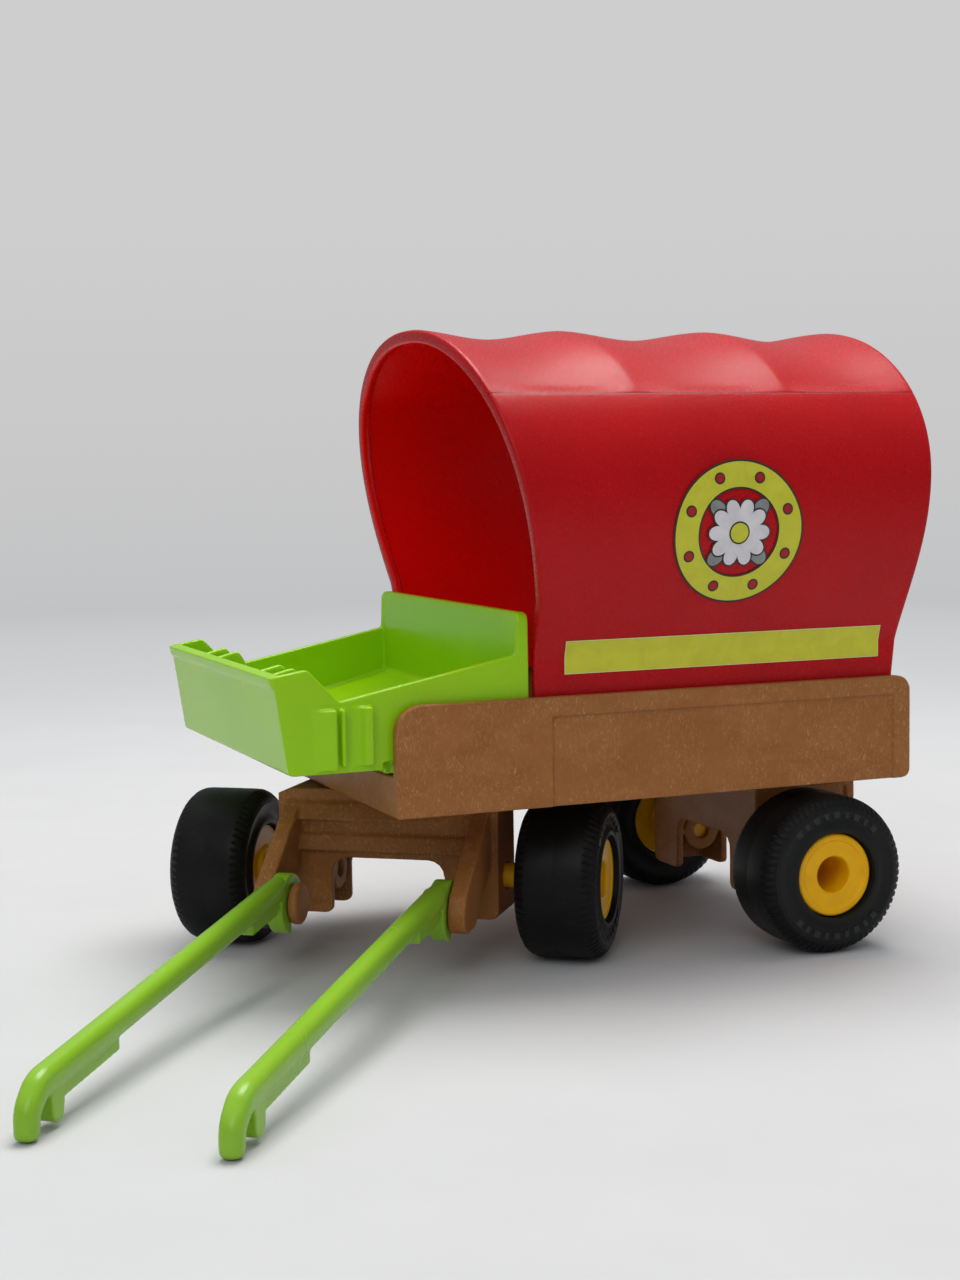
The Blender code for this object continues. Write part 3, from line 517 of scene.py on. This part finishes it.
def wheel_place(end, word):
    """A wheel's centre, its axle towards the outer face, up, and across."""
    side = SIDES[word]
    if end == "rear":
        centre, axis = Vector((side * WHEEL_X, WHEELBASE, TYRE_R)), Vector((side, 0, 0))
    else:
        centre = BOGIE_TURN @ Vector((side * WHEEL_X, 0, TYRE_R))
        axis = BOGIE_TURN @ Vector((side, 0, 0))
    up = Vector((0, 0, 1))
    return centre, axis, up, up.cross(axis)


def on_wheel(place, along, radius, angle):
    """A world point by its distance along a wheel's axle, radius and angle."""
    centre, axis, up, across = place
    return to_world(centre + axis * along
                    + (up * math.cos(angle) + across * math.sin(angle)) * radius)


def tyre(end, word, tread, wall):
    """Tyre with a near-smooth tread, a centre seam and toothed shoulders; its side walls take a
    lighter rubber as painted light.
    """
    half = TYRE_W / 2
    outline = [(0.0, TYRE_R - 0.02), (0.22, TYRE_R), (half - 4.2, TYRE_R - 0.02),
               (half - 2.9, TYRE_R - 0.12), (half - 1.9, TYRE_R - 0.5),
               (half - 1.0, TYRE_R - 1.25), (half - 0.35, TYRE_R - 2.3),
               (half - 0.12, TYRE_R - 3.2), (half - 0.45, TYRE_R - 4.4),
               (half - WALL_DIP, HUB_R + 3.6), (half - 0.45, HUB_R + 2.3),
               (half - 0.08, HUB_R + 1.7), (half, HUB_R + 1.1), (half - 0.15, HUB_R + 0.55),
               (half - 0.7, HUB_R + 0.3), (half - 2.6, HUB_R + 0.3), (half - 3.9, HUB_R - 0.35)]
    profile = outline + [(-along, radius) for along, radius in outline[:0:-1]]
    steps = TEETH * TOOTH_STEPS
    place = wheel_place(end, word)
    verts = []
    for along, radius in profile:
        shoulder = radius > TYRE_R - SHOULDER_H and abs(along) > half - SHOULDER_W
        for s in range(steps):
            notch = TOOTH_DEPTH if shoulder and s % TOOTH_STEPS in (0, 1) else 0.0
            verts.append(on_wheel(place, along, radius - notch, 2 * math.pi * s / steps))
    tag = "%s_%s" % (end, word)
    obj = mesh_piece("rubber_tyre_" + tag, verts, ring_faces(len(profile), steps, True), tread,
                     "wheel_" + tag, 28.0)
    obj.data.materials.append(wall)
    # Faces near the side walls take the lighter rubber of painted light
    for poly in obj.data.polygons:
        if min(abs(profile[v // steps][0]) for v in poly.vertices) > half - WALL_LIGHT_EDGE:
            poly.material_index = 1
    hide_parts("tyre_" + tag)


def sidewall_dashes(end, word, mat):
    """Low raised dashes in two arcs on a tyre's outer wall, in a lighter rubber that is painted
    highlight.
    """
    place = wheel_place(end, word)
    face = TYRE_W / 2 - WALL_DIP
    verts, faces = [], []
    for start in (DASH_START, DASH_START + 180.0):
        for k in range(DASHES):
            mid = math.radians(start + DASH_PITCH * k)
            half = math.radians(DASH_HALF[k % 2])
            base = len(verts)
            for lift in DASH_LIFTS:
                for radius in DASH_RADII:
                    for s in range(4):
                        angle = mid + half * (s / 1.5 - 1.0)
                        verts.append(on_wheel(place, face + lift, radius, angle))
            for s in range(3):
                i = base + s
                faces += [(i, i + 1, i + 5, i + 4), (i + 8, i + 9, i + 13, i + 12),
                          (i, i + 1, i + 9, i + 8), (i + 4, i + 5, i + 13, i + 12)]
            for i in (base, base + 3):
                faces.append((i, i + 4, i + 12, i + 8))
    tag = "%s_%s" % (end, word)
    mesh_piece("sidewall_marks_" + tag, verts, faces, mat, "wheel_" + tag, 30.0)


def hub(end, word, mat):
    """Wheel hub: raised outer ring, dished face, deep socket, and a stub axle
    with a snap ridge."""
    back, groove = -TYRE_W / 2, HUB_R - 0.8
    face = TYRE_W / 2 - HUB_DIP
    profile = [(face - SOCKET_DEPTH, 0.6), (face - SOCKET_DEPTH, SOCKET_R - 0.1),
               (face - HUB_RIM, SOCKET_R), (face, SOCKET_R + HUB_RIM), (face, HUB_R - 1.75),
               (face + 0.34, HUB_R - 1.5), (face + HUB_RIM, HUB_R - HUB_RIM), (face, HUB_R),
               (face - 1.6, HUB_R), (face - 2.2, groove), (back + 3.2, groove),
               (back + 2.6, HUB_R), (back + 1.0, HUB_R), (back + 1.0, STUB_R + 2.2),
               (back + 0.2, STUB_R + 1.6), (back, STUB_R), (SNAP_AT + SNAP_HALF, STUB_R),
               (SNAP_AT, STUB_R + SNAP_RISE), (SNAP_AT - SNAP_HALF, STUB_R), (STUB_END, STUB_R)]
    profile = fillet(profile, {1: 0.4, 2: 0.3, 3: 0.3, 4: 0.25, 5: 0.3, 6: 0.4, 7: 0.4, 8: 0.3})
    place = wheel_place(end, word)
    verts = [on_wheel(place, along, radius, 2 * math.pi * s / HUB_STEPS)
             for along, radius in profile for s in range(HUB_STEPS)]
    tag = "%s_%s" % (end, word)
    obj = mesh_piece("wheel_hub_" + tag, verts, ring_faces(len(profile), HUB_STEPS, False), mat,
                     "wheel_" + tag)
    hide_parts("hub_" + tag)


# Tilt cover


def cover_half(height):
    """Half width of the cover's side at a height over the bed's top."""
    if height <= COVER_STRAIGHT_H:
        return COVER_BASE_HALF
    t = (height - COVER_STRAIGHT_H) / (COVER_BULGE_H - COVER_STRAIGHT_H)
    return COVER_BASE_HALF + COVER_BULGE * math.sin(math.pi / 2 * min(t, 1.0) ** COVER_BULGE_POWER)


def cover_slope(height, reach=0.05):
    """How fast the cover's side moves out with the height."""
    return (cover_half(height + reach) - cover_half(height - reach)) / (2 * reach)


def cover_profile():
    """Fine outer profile (x, height) from the left foot over to the right."""
    side = []
    for s in range(int((COVER_STRAIGHT_H + COVER_TONGUE) / FOOT_STEP)):
        side.append((COVER_BASE_HALF, -COVER_TONGUE + FOOT_GAP + s * FOOT_STEP))
    for s in range(BULGE_ROWS + 1):
        h = COVER_STRAIGHT_H + (COVER_BULGE_H - COVER_STRAIGHT_H) * s / BULGE_ROWS
        side.append((cover_half(h), h))
    wide, rise = COVER_BASE_HALF + COVER_BULGE, COVER_H - COVER_BULGE_H
    power = 2 / COVER_ROOF_POWER
    turns = [math.pi / 2 * s / ROOF_ROWS for s in range(1, ROOF_ROWS + 1)]
    for step in SEAM_ROWS:
        turns.append(math.asin(((COVER_SEAM_H + step - COVER_BULGE_H) / rise) ** (1 / power)))
    for a in sorted(turns):
        side.append((wide * max(math.cos(a), 0.0) ** power,
                     COVER_BULGE_H + rise * math.sin(a) ** power))
    side[-1] = (0.0, COVER_H)
    return side + [(-x, h) for x, h in reversed(side[:-1])]


def cover_normals(profile):
    """Outward normals along the profile."""
    normals = []
    for k in range(len(profile)):
        before, after = profile[max(k - 1, 0)], profile[min(k + 1, len(profile) - 1)]
        t = (Vector(after) - Vector(before)).normalized()
        normals.append(Vector((t.y, -t.x)))
    return normals


def cover_ends(height):
    """Front and rear y of the cover at a height over the bed's top."""
    front = COVER_FRONT - COVER_LEAN_FRONT * max(height - COVER_LEAN_FROM, 0.0)
    bend = COVER_LEAN_END - COVER_LEAN_BEND
    over = COVER_LEAN_BEND * math.tanh(max(height - bend, 0.0) / COVER_LEAN_BEND)
    return front, COVER_REAR + COVER_LEAN_REAR * (max(min(height, bend), 0.0) + over)


def cover_dent(spot, height, onset):
    """How far the cover sinks between its hoops, most at the ridge.

    The onset says how sharply it starts over the seam.
    """
    share = max(height - COVER_SEAM_H, 0.0) / (COVER_H - COVER_SEAM_H)
    bay = 0.0
    for front, rear in zip(COVER_HOOPS, COVER_HOOPS[1:]):
        if front <= spot <= rear:
            bay = (spot - front) / (rear - front)
    wave = max(math.sin(math.pi * bay), 0.0) ** (0.7 + 0.8 * share)
    return COVER_SAG * wave * min(onset * share, 1.0) * (0.65 + 0.35 * share)


def cover_bead(spot, height):
    """Extra thickness of the rims at both ends, inwards and above the foot."""
    inward = min(min(spot, 1 - spot) / COVER_RIM, 1.0)
    foot = min(max((height - BEAD_FOOT) / BEAD_RUN, 0.0), 1.0)
    return COVER_BEAD * math.sqrt(1 - inward ** 2) * foot


def cover_depth(spot, height, inner):
    """How deep the outer or the inner skin lies under the outer profile."""
    edge = RIM_ROUND.get(round(min(spot, 1 - spot), 4), 0.0)
    if inner:
        bead = cover_bead(spot, height)
        return COVER_T + bead - edge + cover_dent(spot, height, INNER_ONSET)
    groove = SEAM_DEPTH * math.exp(-((height - COVER_SEAM_H) / SEAM_HALF) ** 2)
    return edge + cover_dent(spot, height, OUTER_ONSET) + groove


def cover(skin, inside_painted_light, seam_shade):
    """One bulging shell: sags between its hoops, rounded rims, a fine seam groove darkened with
    painted shade, and an inside made lighter with painted light.
    """
    profile = cover_profile()
    normals = cover_normals(profile)
    spots = [COVER_RIM + (1 - 2 * COVER_RIM) * s / COVER_ROWS for s in range(1, COVER_ROWS)]
    spots = [*RIM_ROWS, *spots, *(1 - row for row in reversed(RIM_ROWS))]
    verts = []
    for inner in (False, True):
        for spot in spots:
            for (x, h), n in zip(profile, normals):
                front, rear = cover_ends(h)
                depth = cover_depth(spot, h, inner)
                verts.append(to_world((x - n.x * depth, front + spot * (rear - front),
                                       BED_TOP + h - n.y * depth)))
    count, size = len(profile), len(profile) * len(spots)
    obj = mesh_piece("tilt_cover", verts, shell_faces(count, len(spots)), skin, "cover",
                     50.0)
    obj.data.materials.append(inside_painted_light)
    obj.data.materials.append(seam_shade)
    for poly in obj.data.polygons:
        # Inside faces take the lighter red of painted light
        if min(poly.vertices) >= size:
            poly.material_index = 1
        elif max(poly.vertices) < size:
            heights = [profile[v % count][1] for v in poly.vertices]
            # Outer faces on the seam groove take the dark red of painted shade
            if max(abs(h - COVER_SEAM_H) for h in heights) < SEAM_SHADE_STRIP:
                poly.material_index = 2
    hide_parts("canopy")


# Stickers


def on_side(word, y, height, lift):
    """A point over the cover's side, lifted off along its normal."""
    n = Vector((1.0, -cover_slope(height))).normalized()
    return to_world((SIDES[word] * (cover_half(height) + n.x * lift), y,
                     BED_TOP + height + n.y * lift))


def arc_height(reach):
    """Height on the bulge at a distance along the surface from the badge's middle."""
    h, left = BADGE_H, abs(reach)
    while left > 0:
        step = min(left, 0.4)
        h += math.copysign(step / math.hypot(1.0, cover_slope(h)), reach)
        left -= step
    return h


def patch(name, word, mat, shapes, lift, thick, steps=5):
    """Flat-cut sheets laid on the bulge; a shape is (middle, rim points, hole share)."""
    verts, faces = [], []
    for (mu, mv), rim, hole in shapes:
        count = len(rim)
        base = len(verts)
        for height in (lift, lift + thick):
            for k in range(steps + 1):
                share = hole + (1 - hole) * k / steps
                for u, v in rim:
                    uu, vv = mu + (u - mu) * share, mv + (v - mv) * share
                    verts.append(on_side(word, BADGE_Y + uu, arc_height(vv), height))
        layer = count * (steps + 1)
        for k in range(steps):
            for s in range(count):
                nxt = (s + 1) % count
                quad = (base + k * count + s, base + k * count + nxt,
                        base + (k + 1) * count + nxt, base + (k + 1) * count + s)
                faces.append(quad)
                faces.append(tuple(layer + i for i in reversed(quad)))
        for k in ((0, steps) if hole > 0 else (steps,)):
            for s in range(count):
                a, b = base + k * count + s, base + k * count + (s + 1) % count
                faces.append((a, b, layer + b, layer + a))
    obj = mesh_piece(name, verts, faces, mat, "cover", 30.0)
    bm = bmesh.new()
    bm.from_mesh(obj.data)
    bmesh.ops.remove_doubles(bm, verts=bm.verts, dist=WELD)
    bmesh.ops.recalc_face_normals(bm, faces=bm.faces)
    bm.to_mesh(obj.data)
    bm.free()
    return obj


def disc(radius, count, middle=(0.0, 0.0), hole=0.0):
    """A round shape, with a hole of a share of its radius."""
    rim = []
    for s in range(count):
        a = 2 * math.pi * s / count
        rim.append((middle[0] + radius * math.cos(a), middle[1] + radius * math.sin(a)))
    return middle, rim, hole


def dots(radius):
    """Small discs set round the badge's ring."""
    shapes = []
    for k in range(DOTS):
        a = 2 * math.pi * (k + 0.5) / DOTS
        middle = (DOT_RING * math.cos(a), DOT_RING * math.sin(a))
        shapes.append(disc(radius, DOT_POINTS, middle))
    return shapes


def petals(count, first, near, far, width, grow):
    """Petals or leaves that point out from the badge's middle."""
    mid, half = (near + far) / 2, (far - near) / 2 + grow
    shapes = []
    for k in range(count):
        angle = math.radians(first) + 2 * math.pi * k / count
        c, s = math.cos(angle), math.sin(angle)
        rim = []
        for point in range(PETAL_POINTS):
            a = 2 * math.pi * point / PETAL_POINTS
            along = mid + half * math.cos(a)
            across = (width / 2 + grow) * math.sin(a) * (1 + PETAL_TAPER * math.cos(a))
            rim.append((along * c - across * s, along * s + across * c))
        shapes.append(((mid * c, mid * s), rim, 0.0))
    return shapes


def badge(word, films):
    """Rosette: a lime ring with red dots, a white daisy and grey leaves."""
    face_r = BADGE_R - BADGE_EDGE

    def layer(name, colour, shapes, lift, thick=PRINT_T):
        return patch("badge_%s_%s" % (name, word), word, films[colour], shapes, lift, thick)

    back = layer("outline", "black", [disc(BADGE_R, RING_POINTS, hole=0.60)], FILM_LIFT, FILM_T)
    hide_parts("badge_sticker_" + word)
    ring = disc(face_r, RING_POINTS, hole=RING_HOLE * BADGE_R / face_r)
    layer("ring", "lime", [ring], FACE_LIFT, RING_T)
    layer("dot_edges", "black", dots(DOT_R + PRINT_EDGE), 0.31)
    layer("dots", "red", dots(DOT_R), 0.35)
    layer("leaf_edges", "black", petals(*LEAVES, PRINT_EDGE), 0.20)
    layer("leaves", "grey", petals(*LEAVES, 0.0), 0.25)
    layer("petal_edges", "black", petals(*PETALS, PRINT_EDGE), 0.30)
    layer("petals", "white", petals(*PETALS, 0.0), 0.35)
    layer("heart_edge", "black", [disc(HEART_R + PRINT_EDGE, HEART_POINTS)], 0.40)
    layer("heart", "lime", [disc(HEART_R, HEART_POINTS)], 0.45)


def sheet(name, word, mat, cut, lift):
    """The stripe's sheet on the cover's side, cut back all round."""
    front, rear, low, high = STRIPE
    start, stop = front + cut, rear - cut
    foot, top = low + cut, high - cut
    columns, rows = STRIPE_CELLS
    verts = []
    for height in (lift, lift + FILM_T):
        for j in range(rows + 1):
            for i in range(columns + 1):
                y = start + (stop - start) * i / columns
                h = foot + (top - foot) * j / rows
                verts.append(on_side(word, y, h, height))
    return mesh_piece(name, verts, shell_faces(columns + 1, rows + 1), mat, "cover",
                      30.0)


def stripe(word, films):
    """Plain lime stripe with a thin pale cut edge."""
    back = sheet("stripe_edge_" + word, word, films["pale"], 0.0, FILM_LIFT)
    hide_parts("stripe_sticker_" + word)
    sheet("stripe_face_" + word, word, films["lime"], STRIPE_EDGE, FACE_LIFT)


# Soft mouldings


def melt(obj, cell, passes, kept):
    """Melt edges and joints into soft moulded rounds.

    The mesh is cut into cells of a width in millimetres, which joins pieces
    that overlap, smoothed, thinned to the kept share of its faces, and shaded
    mostly by its larger faces.
    """
    fine = obj.modifiers.new("fine_cells", "REMESH")
    fine.mode = "VOXEL"
    fine.voxel_size = cell * MM * 1.0
    fine.use_smooth_shade = True
    soft = obj.modifiers.new("melt", "SMOOTH")
    soft.factor = 0.5
    soft.iterations = passes
    thin = obj.modifiers.new("thin", "DECIMATE")
    thin.ratio = kept
    even = obj.modifiers.new("even_shading", "WEIGHTED_NORMAL")
    even.keep_sharp = False


def dress(node, mat, soft):
    """New material and melted edges for a node that keeps its shape."""
    obj = frame["nodes"][node]
    obj.data.materials.clear()
    obj.data.materials.append(mat)
    melt(obj, *soft)


# Shafts


def smooth_line(points, steps):
    """A smooth curve through points of any number of values."""
    out = []
    for k in range(len(points) - 1):
        before, here = points[max(k - 1, 0)], points[k]
        there, after = points[k + 1], points[min(k + 2, len(points) - 1)]
        for s in range(steps):
            t = s / steps
            out.append(tuple(
                0.5 * (2 * b + (c - a) * t + (2 * a - 5 * b + 4 * c - d) * t * t
                       + (3 * b - a - 3 * c + d) * t ** 3)
                for a, b, c, d in zip(before, here, there, after)))
    return out + [points[-1]]


def bar(spine):
    """Rounded bar along (y, z, width share, height share) points."""
    verts = []
    for k, (y, z, wide, high) in enumerate(spine):
        before, after = spine[max(k - 1, 0)], spine[min(k + 1, len(spine) - 1)]
        run = Vector((after[0] - before[0], after[1] - before[1])).normalized()
        for step in range(BAR_STEPS):
            a = 2 * math.pi * step / BAR_STEPS
            c, s = math.cos(a), math.sin(a)
            u = math.copysign(abs(c) ** BAR_POWER, c) * BAR_W / 2 * wide
            v = math.copysign(abs(s) ** BAR_POWER, s) * BAR_H / 2 * high
            verts.append((u, y - run.y * v, z + run.x * v))
    return verts, ring_faces(len(spine), BAR_STEPS, False)


def slab(outline, half):
    """A (y, z) outline carried half a width to each side."""
    count = len(outline)
    verts = [(x, y, z) for x in (-half, half) for y, z in outline]
    faces = [tuple(range(count)), tuple(range(count, 2 * count))]
    for k in range(count):
        nxt = (k + 1) % count
        faces.append((k, nxt, count + nxt, count + k))
    return verts, faces


def clip_ring():
    """The open ring that snaps over the bogie's peg."""
    start, stop = math.radians(CLIP_OPEN[0]), math.radians(CLIP_OPEN[1])
    turns = [start + (2 * math.pi + stop - start) * s / CLIP_STEPS for s in range(CLIP_STEPS + 1)]
    outer = EYE_R + CLIP_WALL
    ring = [(outer * math.cos(a), outer * math.sin(a)) for a in turns]
    ring += [(EYE_R * math.cos(a), EYE_R * math.sin(a)) for a in reversed(turns)]
    return slab(ring, CLIP_T / 2)


def shaft_parts():
    """Bar with its bent tip, clip, rear prong and two fins, from the peg's middle."""
    ground, tip = FLOOR_GAP - PEG_Z, TIP_GAP - SHAFT_LEN
    knee = ground + PRONG + BAR_H / 2 + BEND_RISE
    fall = (BAR_LIFT - knee) / (SHAFT_LEN - BEND_RUN)
    neck = CLIP_T / BAR_W
    spine = [(-3.6, BAR_LIFT - fall * 3.6, neck, 1), (-10.0, BAR_LIFT - fall * 10, 1, 1)]
    spine += [(tip * t, BAR_LIFT + fall * tip * t, 1, 1) for t in (0.3, 0.6, 0.9)]
    spine += [(tip + 5.0, knee - 0.3, 1, 0.98), (tip + 2.2, knee - 1.9, 0.98, 0.92),
              (tip + 0.4, knee - 4.0, 0.95, 0.86), (tip, ground + 2.0, 0.92, 0.82),
              (tip, ground + 0.6, 0.86, 0.76), (tip, ground, 0.6, 0.5)]
    back = tip + BAR_H * 0.41 + PRONG_SLOT

    def under(y, drop):
        return BAR_LIFT + fall * y - BAR_H / 2 - drop

    prong = [(back + PRONG + 1.0, under(back + PRONG + 1.0, -SUNK)),
             (back - 0.6, under(back, -SUNK))]
    for s in range(PRONG_STEPS + 1):
        a = math.pi * s / PRONG_STEPS
        prong.append((back + PRONG / 2 - PRONG / 2 * math.cos(a),
                      ground + 0.8 + 2.0 * (1 - math.sin(a))))
    parts = [bar(smooth_line(spine, 8)), clip_ring(), slab(prong, PRONG_HALF_W)]
    for low, high in ((-REAR_FIN[1], -REAR_FIN[0]), (back + PRONG / 2, tip + FRONT_FIN_END)):
        fin = [(low, under(low, FIN_DROP)), (high, under(high, FIN_DROP)),
               (high, under(high, -SUNK)), (low, under(low, -SUNK))]
        parts.append(slab(fin, FIN_T / 2))
    return parts


def shaft(word, mat):
    """A shaft: open clip, long rounded bar, two-pronged foot and two fins."""
    hinge = Vector(joints["shaft_%s_hinge" % word]["pos_m"])
    verts, faces = [], []
    for part_verts, part_faces in shaft_parts():
        base = len(verts)
        verts += [hinge + BOGIE_TURN @ Vector(p) * MM for p in part_verts]
        faces += [tuple(base + i for i in face) for face in part_faces]
    obj = mesh_piece("round_shaft_" + word, verts, faces, mat, word + "_shaft")
    melt(obj, *SOFT_SHAFT)
    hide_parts("shaft_" + word)


# Studio


def look_from():
    """The photograph's camera."""
    yaw, pitch, roll = [math.radians(angle) for angle in CAMERA_ANGLES]
    ahead = Vector((-math.cos(yaw) * math.cos(pitch), math.sin(yaw) * math.cos(pitch),
                    -math.sin(pitch)))
    right = ahead.cross(Vector((0, 0, 1))).normalized()
    up = right.cross(ahead)
    c, s = math.cos(roll), math.sin(roll)
    right, up = right * c + up * s, up * c - right * s
    data = bpy.data.cameras.new("camera")
    data.lens = SENSOR * FOCAL_PIXELS / PHOTO_PIXELS
    data.sensor_width = SENSOR
    data.clip_start = 0.01
    cam = bpy.data.objects.new("camera", data)
    turn = Matrix((right, up, -ahead)).transposed().to_4x4()
    cam.matrix_world = Matrix.Translation(to_world(CAMERA_AT)) @ turn
    bpy.context.collection.objects.link(cam)
    bpy.context.scene.camera = cam


def floor_reach(tree, split):
    """A floor point's level distance from the middle."""
    flat = tree.nodes.new("ShaderNodeCombineXYZ")
    tree.links.new(split.outputs["X"], flat.inputs["X"])
    tree.links.new(split.outputs["Y"], flat.inputs["Y"])
    reach = tree.nodes.new("ShaderNodeVectorMath")
    reach.operation = "LENGTH"
    tree.links.new(flat.outputs[0], reach.inputs[0])
    return reach.outputs["Value"]


def backdrop_share(tree, reach):
    """Share of the backdrop: none near the object, and for the camera alone."""
    far = tree.nodes.new("ShaderNodeMapRange")
    far.interpolation_type = "SMOOTHSTEP"
    far.inputs["From Min"].default_value = GLOW_FROM
    far.inputs["From Max"].default_value = GLOW_FULL
    tree.links.new(reach, far.inputs["Value"])
    path = tree.nodes.new("ShaderNodeLightPath")
    seen = tree.nodes.new("ShaderNodeMath")
    seen.operation = "MULTIPLY"
    tree.links.new(far.outputs["Result"], seen.inputs[0])
    tree.links.new(path.outputs["Is Camera Ray"], seen.inputs[1])
    return seen.outputs[0]


def backdrop(tree, split, reach):
    """The backdrop's greys, by how far out and up a point of the sweep is."""
    total = tree.nodes.new("ShaderNodeMath")
    total.operation = "MULTIPLY_ADD"
    tree.links.new(split.outputs["Z"], total.inputs[0])
    total.inputs[1].default_value = SHADE_RISE
    tree.links.new(reach, total.inputs[2])
    share = tree.nodes.new("ShaderNodeMapRange")
    share.inputs["From Min"].default_value = SHADE_FROM
    share.inputs["From Max"].default_value = SHADE_END
    tree.links.new(total.outputs[0], share.inputs["Value"])
    glow = tree.nodes.new("ShaderNodeEmission")
    tree.links.new(ramp(tree, share.outputs["Result"], SHADES), glow.inputs["Color"])
    return glow.outputs[0]


def floor_material():
    """Pale matt floor that passes into the backdrop's greys."""
    mat, tree, shader = nodes_of("pale_floor")
    grain = clouds(tree, 0.02, detail=4.0, rough=0.6)
    tree.links.new(between(tree, grain, (0.555, 0.560, 0.565), (0.578, 0.583, 0.588)),
                   shader.inputs["Base Color"])
    shader.inputs["Roughness"].default_value = 0.75
    shader.inputs["Specular IOR Level"].default_value = 0.15
    coords = tree.nodes.new("ShaderNodeTexCoord")
    split = tree.nodes.new("ShaderNodeSeparateXYZ")
    tree.links.new(coords.outputs["Object"], split.inputs[0])
    reach = floor_reach(tree, split)
    blend = tree.nodes.new("ShaderNodeMixShader")
    tree.links.new(backdrop_share(tree, reach), blend.inputs["Fac"])
    tree.links.new(shader.outputs[0], blend.inputs[1])
    tree.links.new(backdrop(tree, split, reach), blend.inputs[2])
    tree.links.new(blend.outputs[0], tree.nodes["Material Output"].inputs["Surface"])
    return mat


def sweep_floor():
    """Pale seamless floor all round, which the object's shadow falls on."""
    verts, faces = [(0.0, 0.0, 0.0)], []
    for k in range(1, FLOOR_RINGS + 1):
        r = FLOOR_REACH * (k / FLOOR_RINGS) ** FLOOR_POWER
        rise = SWEEP_CURL * max(r - SWEEP_FROM, 0.0) ** 2
        for s in range(FLOOR_STEPS):
            a = 2 * math.pi * s / FLOOR_STEPS
            verts.append((r * math.cos(a), r * math.sin(a), rise))
    for s in range(FLOOR_STEPS):
        faces.append((0, 1 + s, 1 + (s + 1) % FLOOR_STEPS))
    for k in range(FLOOR_RINGS - 1):
        a = 1 + k * FLOOR_STEPS
        b = a + FLOOR_STEPS
        for s in range(FLOOR_STEPS):
            nxt = (s + 1) % FLOOR_STEPS
            faces.append((a + s, b + s, b + nxt, a + nxt))
    mesh = bpy.data.meshes.new("floor")
    mesh.from_pydata(verts, [], faces)
    mesh.shade_smooth()
    mesh.materials.append(floor_material())
    obj = bpy.data.objects.new("floor", mesh)
    obj.location = (0, 0, -FLOOR_DROP)
    bpy.context.collection.objects.link(obj)


def lamp(name, at, size, power, colour):
    """A soft rectangular lamp that looks at the object."""
    data = bpy.data.lights.new(name, "AREA")
    data.shape = "RECTANGLE"
    data.size, data.size_y = size
    data.energy = power
    data.color = colour
    obj = bpy.data.objects.new(name, data)
    obj.location = at
    direction = Vector(LAMP_AIM) - Vector(at)
    obj.rotation_euler = direction.to_track_quat("-Z", "Y").to_euler()
    bpy.context.collection.objects.link(obj)


def room():
    """A room that is bright above, grey on the far side and dark on the camera's."""
    world = bpy.data.worlds.new("soft_room")
    bpy.context.scene.world = world
    world.use_nodes = True
    tree = world.node_tree
    back = tree.nodes["Background"]
    coords = tree.nodes.new("ShaderNodeTexCoord")
    split = tree.nodes.new("ShaderNodeSeparateXYZ")
    tree.links.new(coords.outputs["Generated"], split.inputs[0])
    over = ramp(tree, split.outputs["Z"], [(0.10, 0.0), (0.75, 1.0)])
    away = ramp(tree, split.outputs["X"], [(0.0, 1.0), (0.35, 0.0)])
    walls = mix(tree, over, mix(tree, away, ROOM_NEAR, ROOM_AWAY), ROOM_TOP)
    path = tree.nodes.new("ShaderNodeLightPath")
    seen = mix(tree, path.outputs["Is Camera Ray"], walls, ROOM_SEEN)
    tree.links.new(seen, back.inputs["Color"])
    back.inputs["Strength"].default_value = ROOM_STRENGTH


def build():
    """All pieces and the studio."""
    looks, films = plastics(), prints()
    for node in ("rear_axle_carrier", "front_bogie"):
        dress(node, looks["brown"], SOFT_FRAME)
    dress("wagon_bed", looks["brown"], SOFT_BED)
    dress("seat_box", looks["seat"], SOFT_SEAT)
    for word in SIDES:
        shaft(word, looks["shaft"])
    cover(looks["cover"], looks["inside_painted_light"], looks["seam_shade"])
    for word in SIDES:
        badge(word, films)
        stripe(word, films)
        for end in ("front", "rear"):
            tyre(end, word, looks["tread"], looks["wall"])
            sidewall_dashes(end, word, looks["dash_highlight"])
            hub(end, word, looks["hub"])
    look_from()
    sweep_floor()
    lamp("overhead", *OVERHEAD)
    lamp("front_fill", *FRONT_FILL)
    room()
    bpy.context.scene.view_settings.view_transform = "Standard"


build()
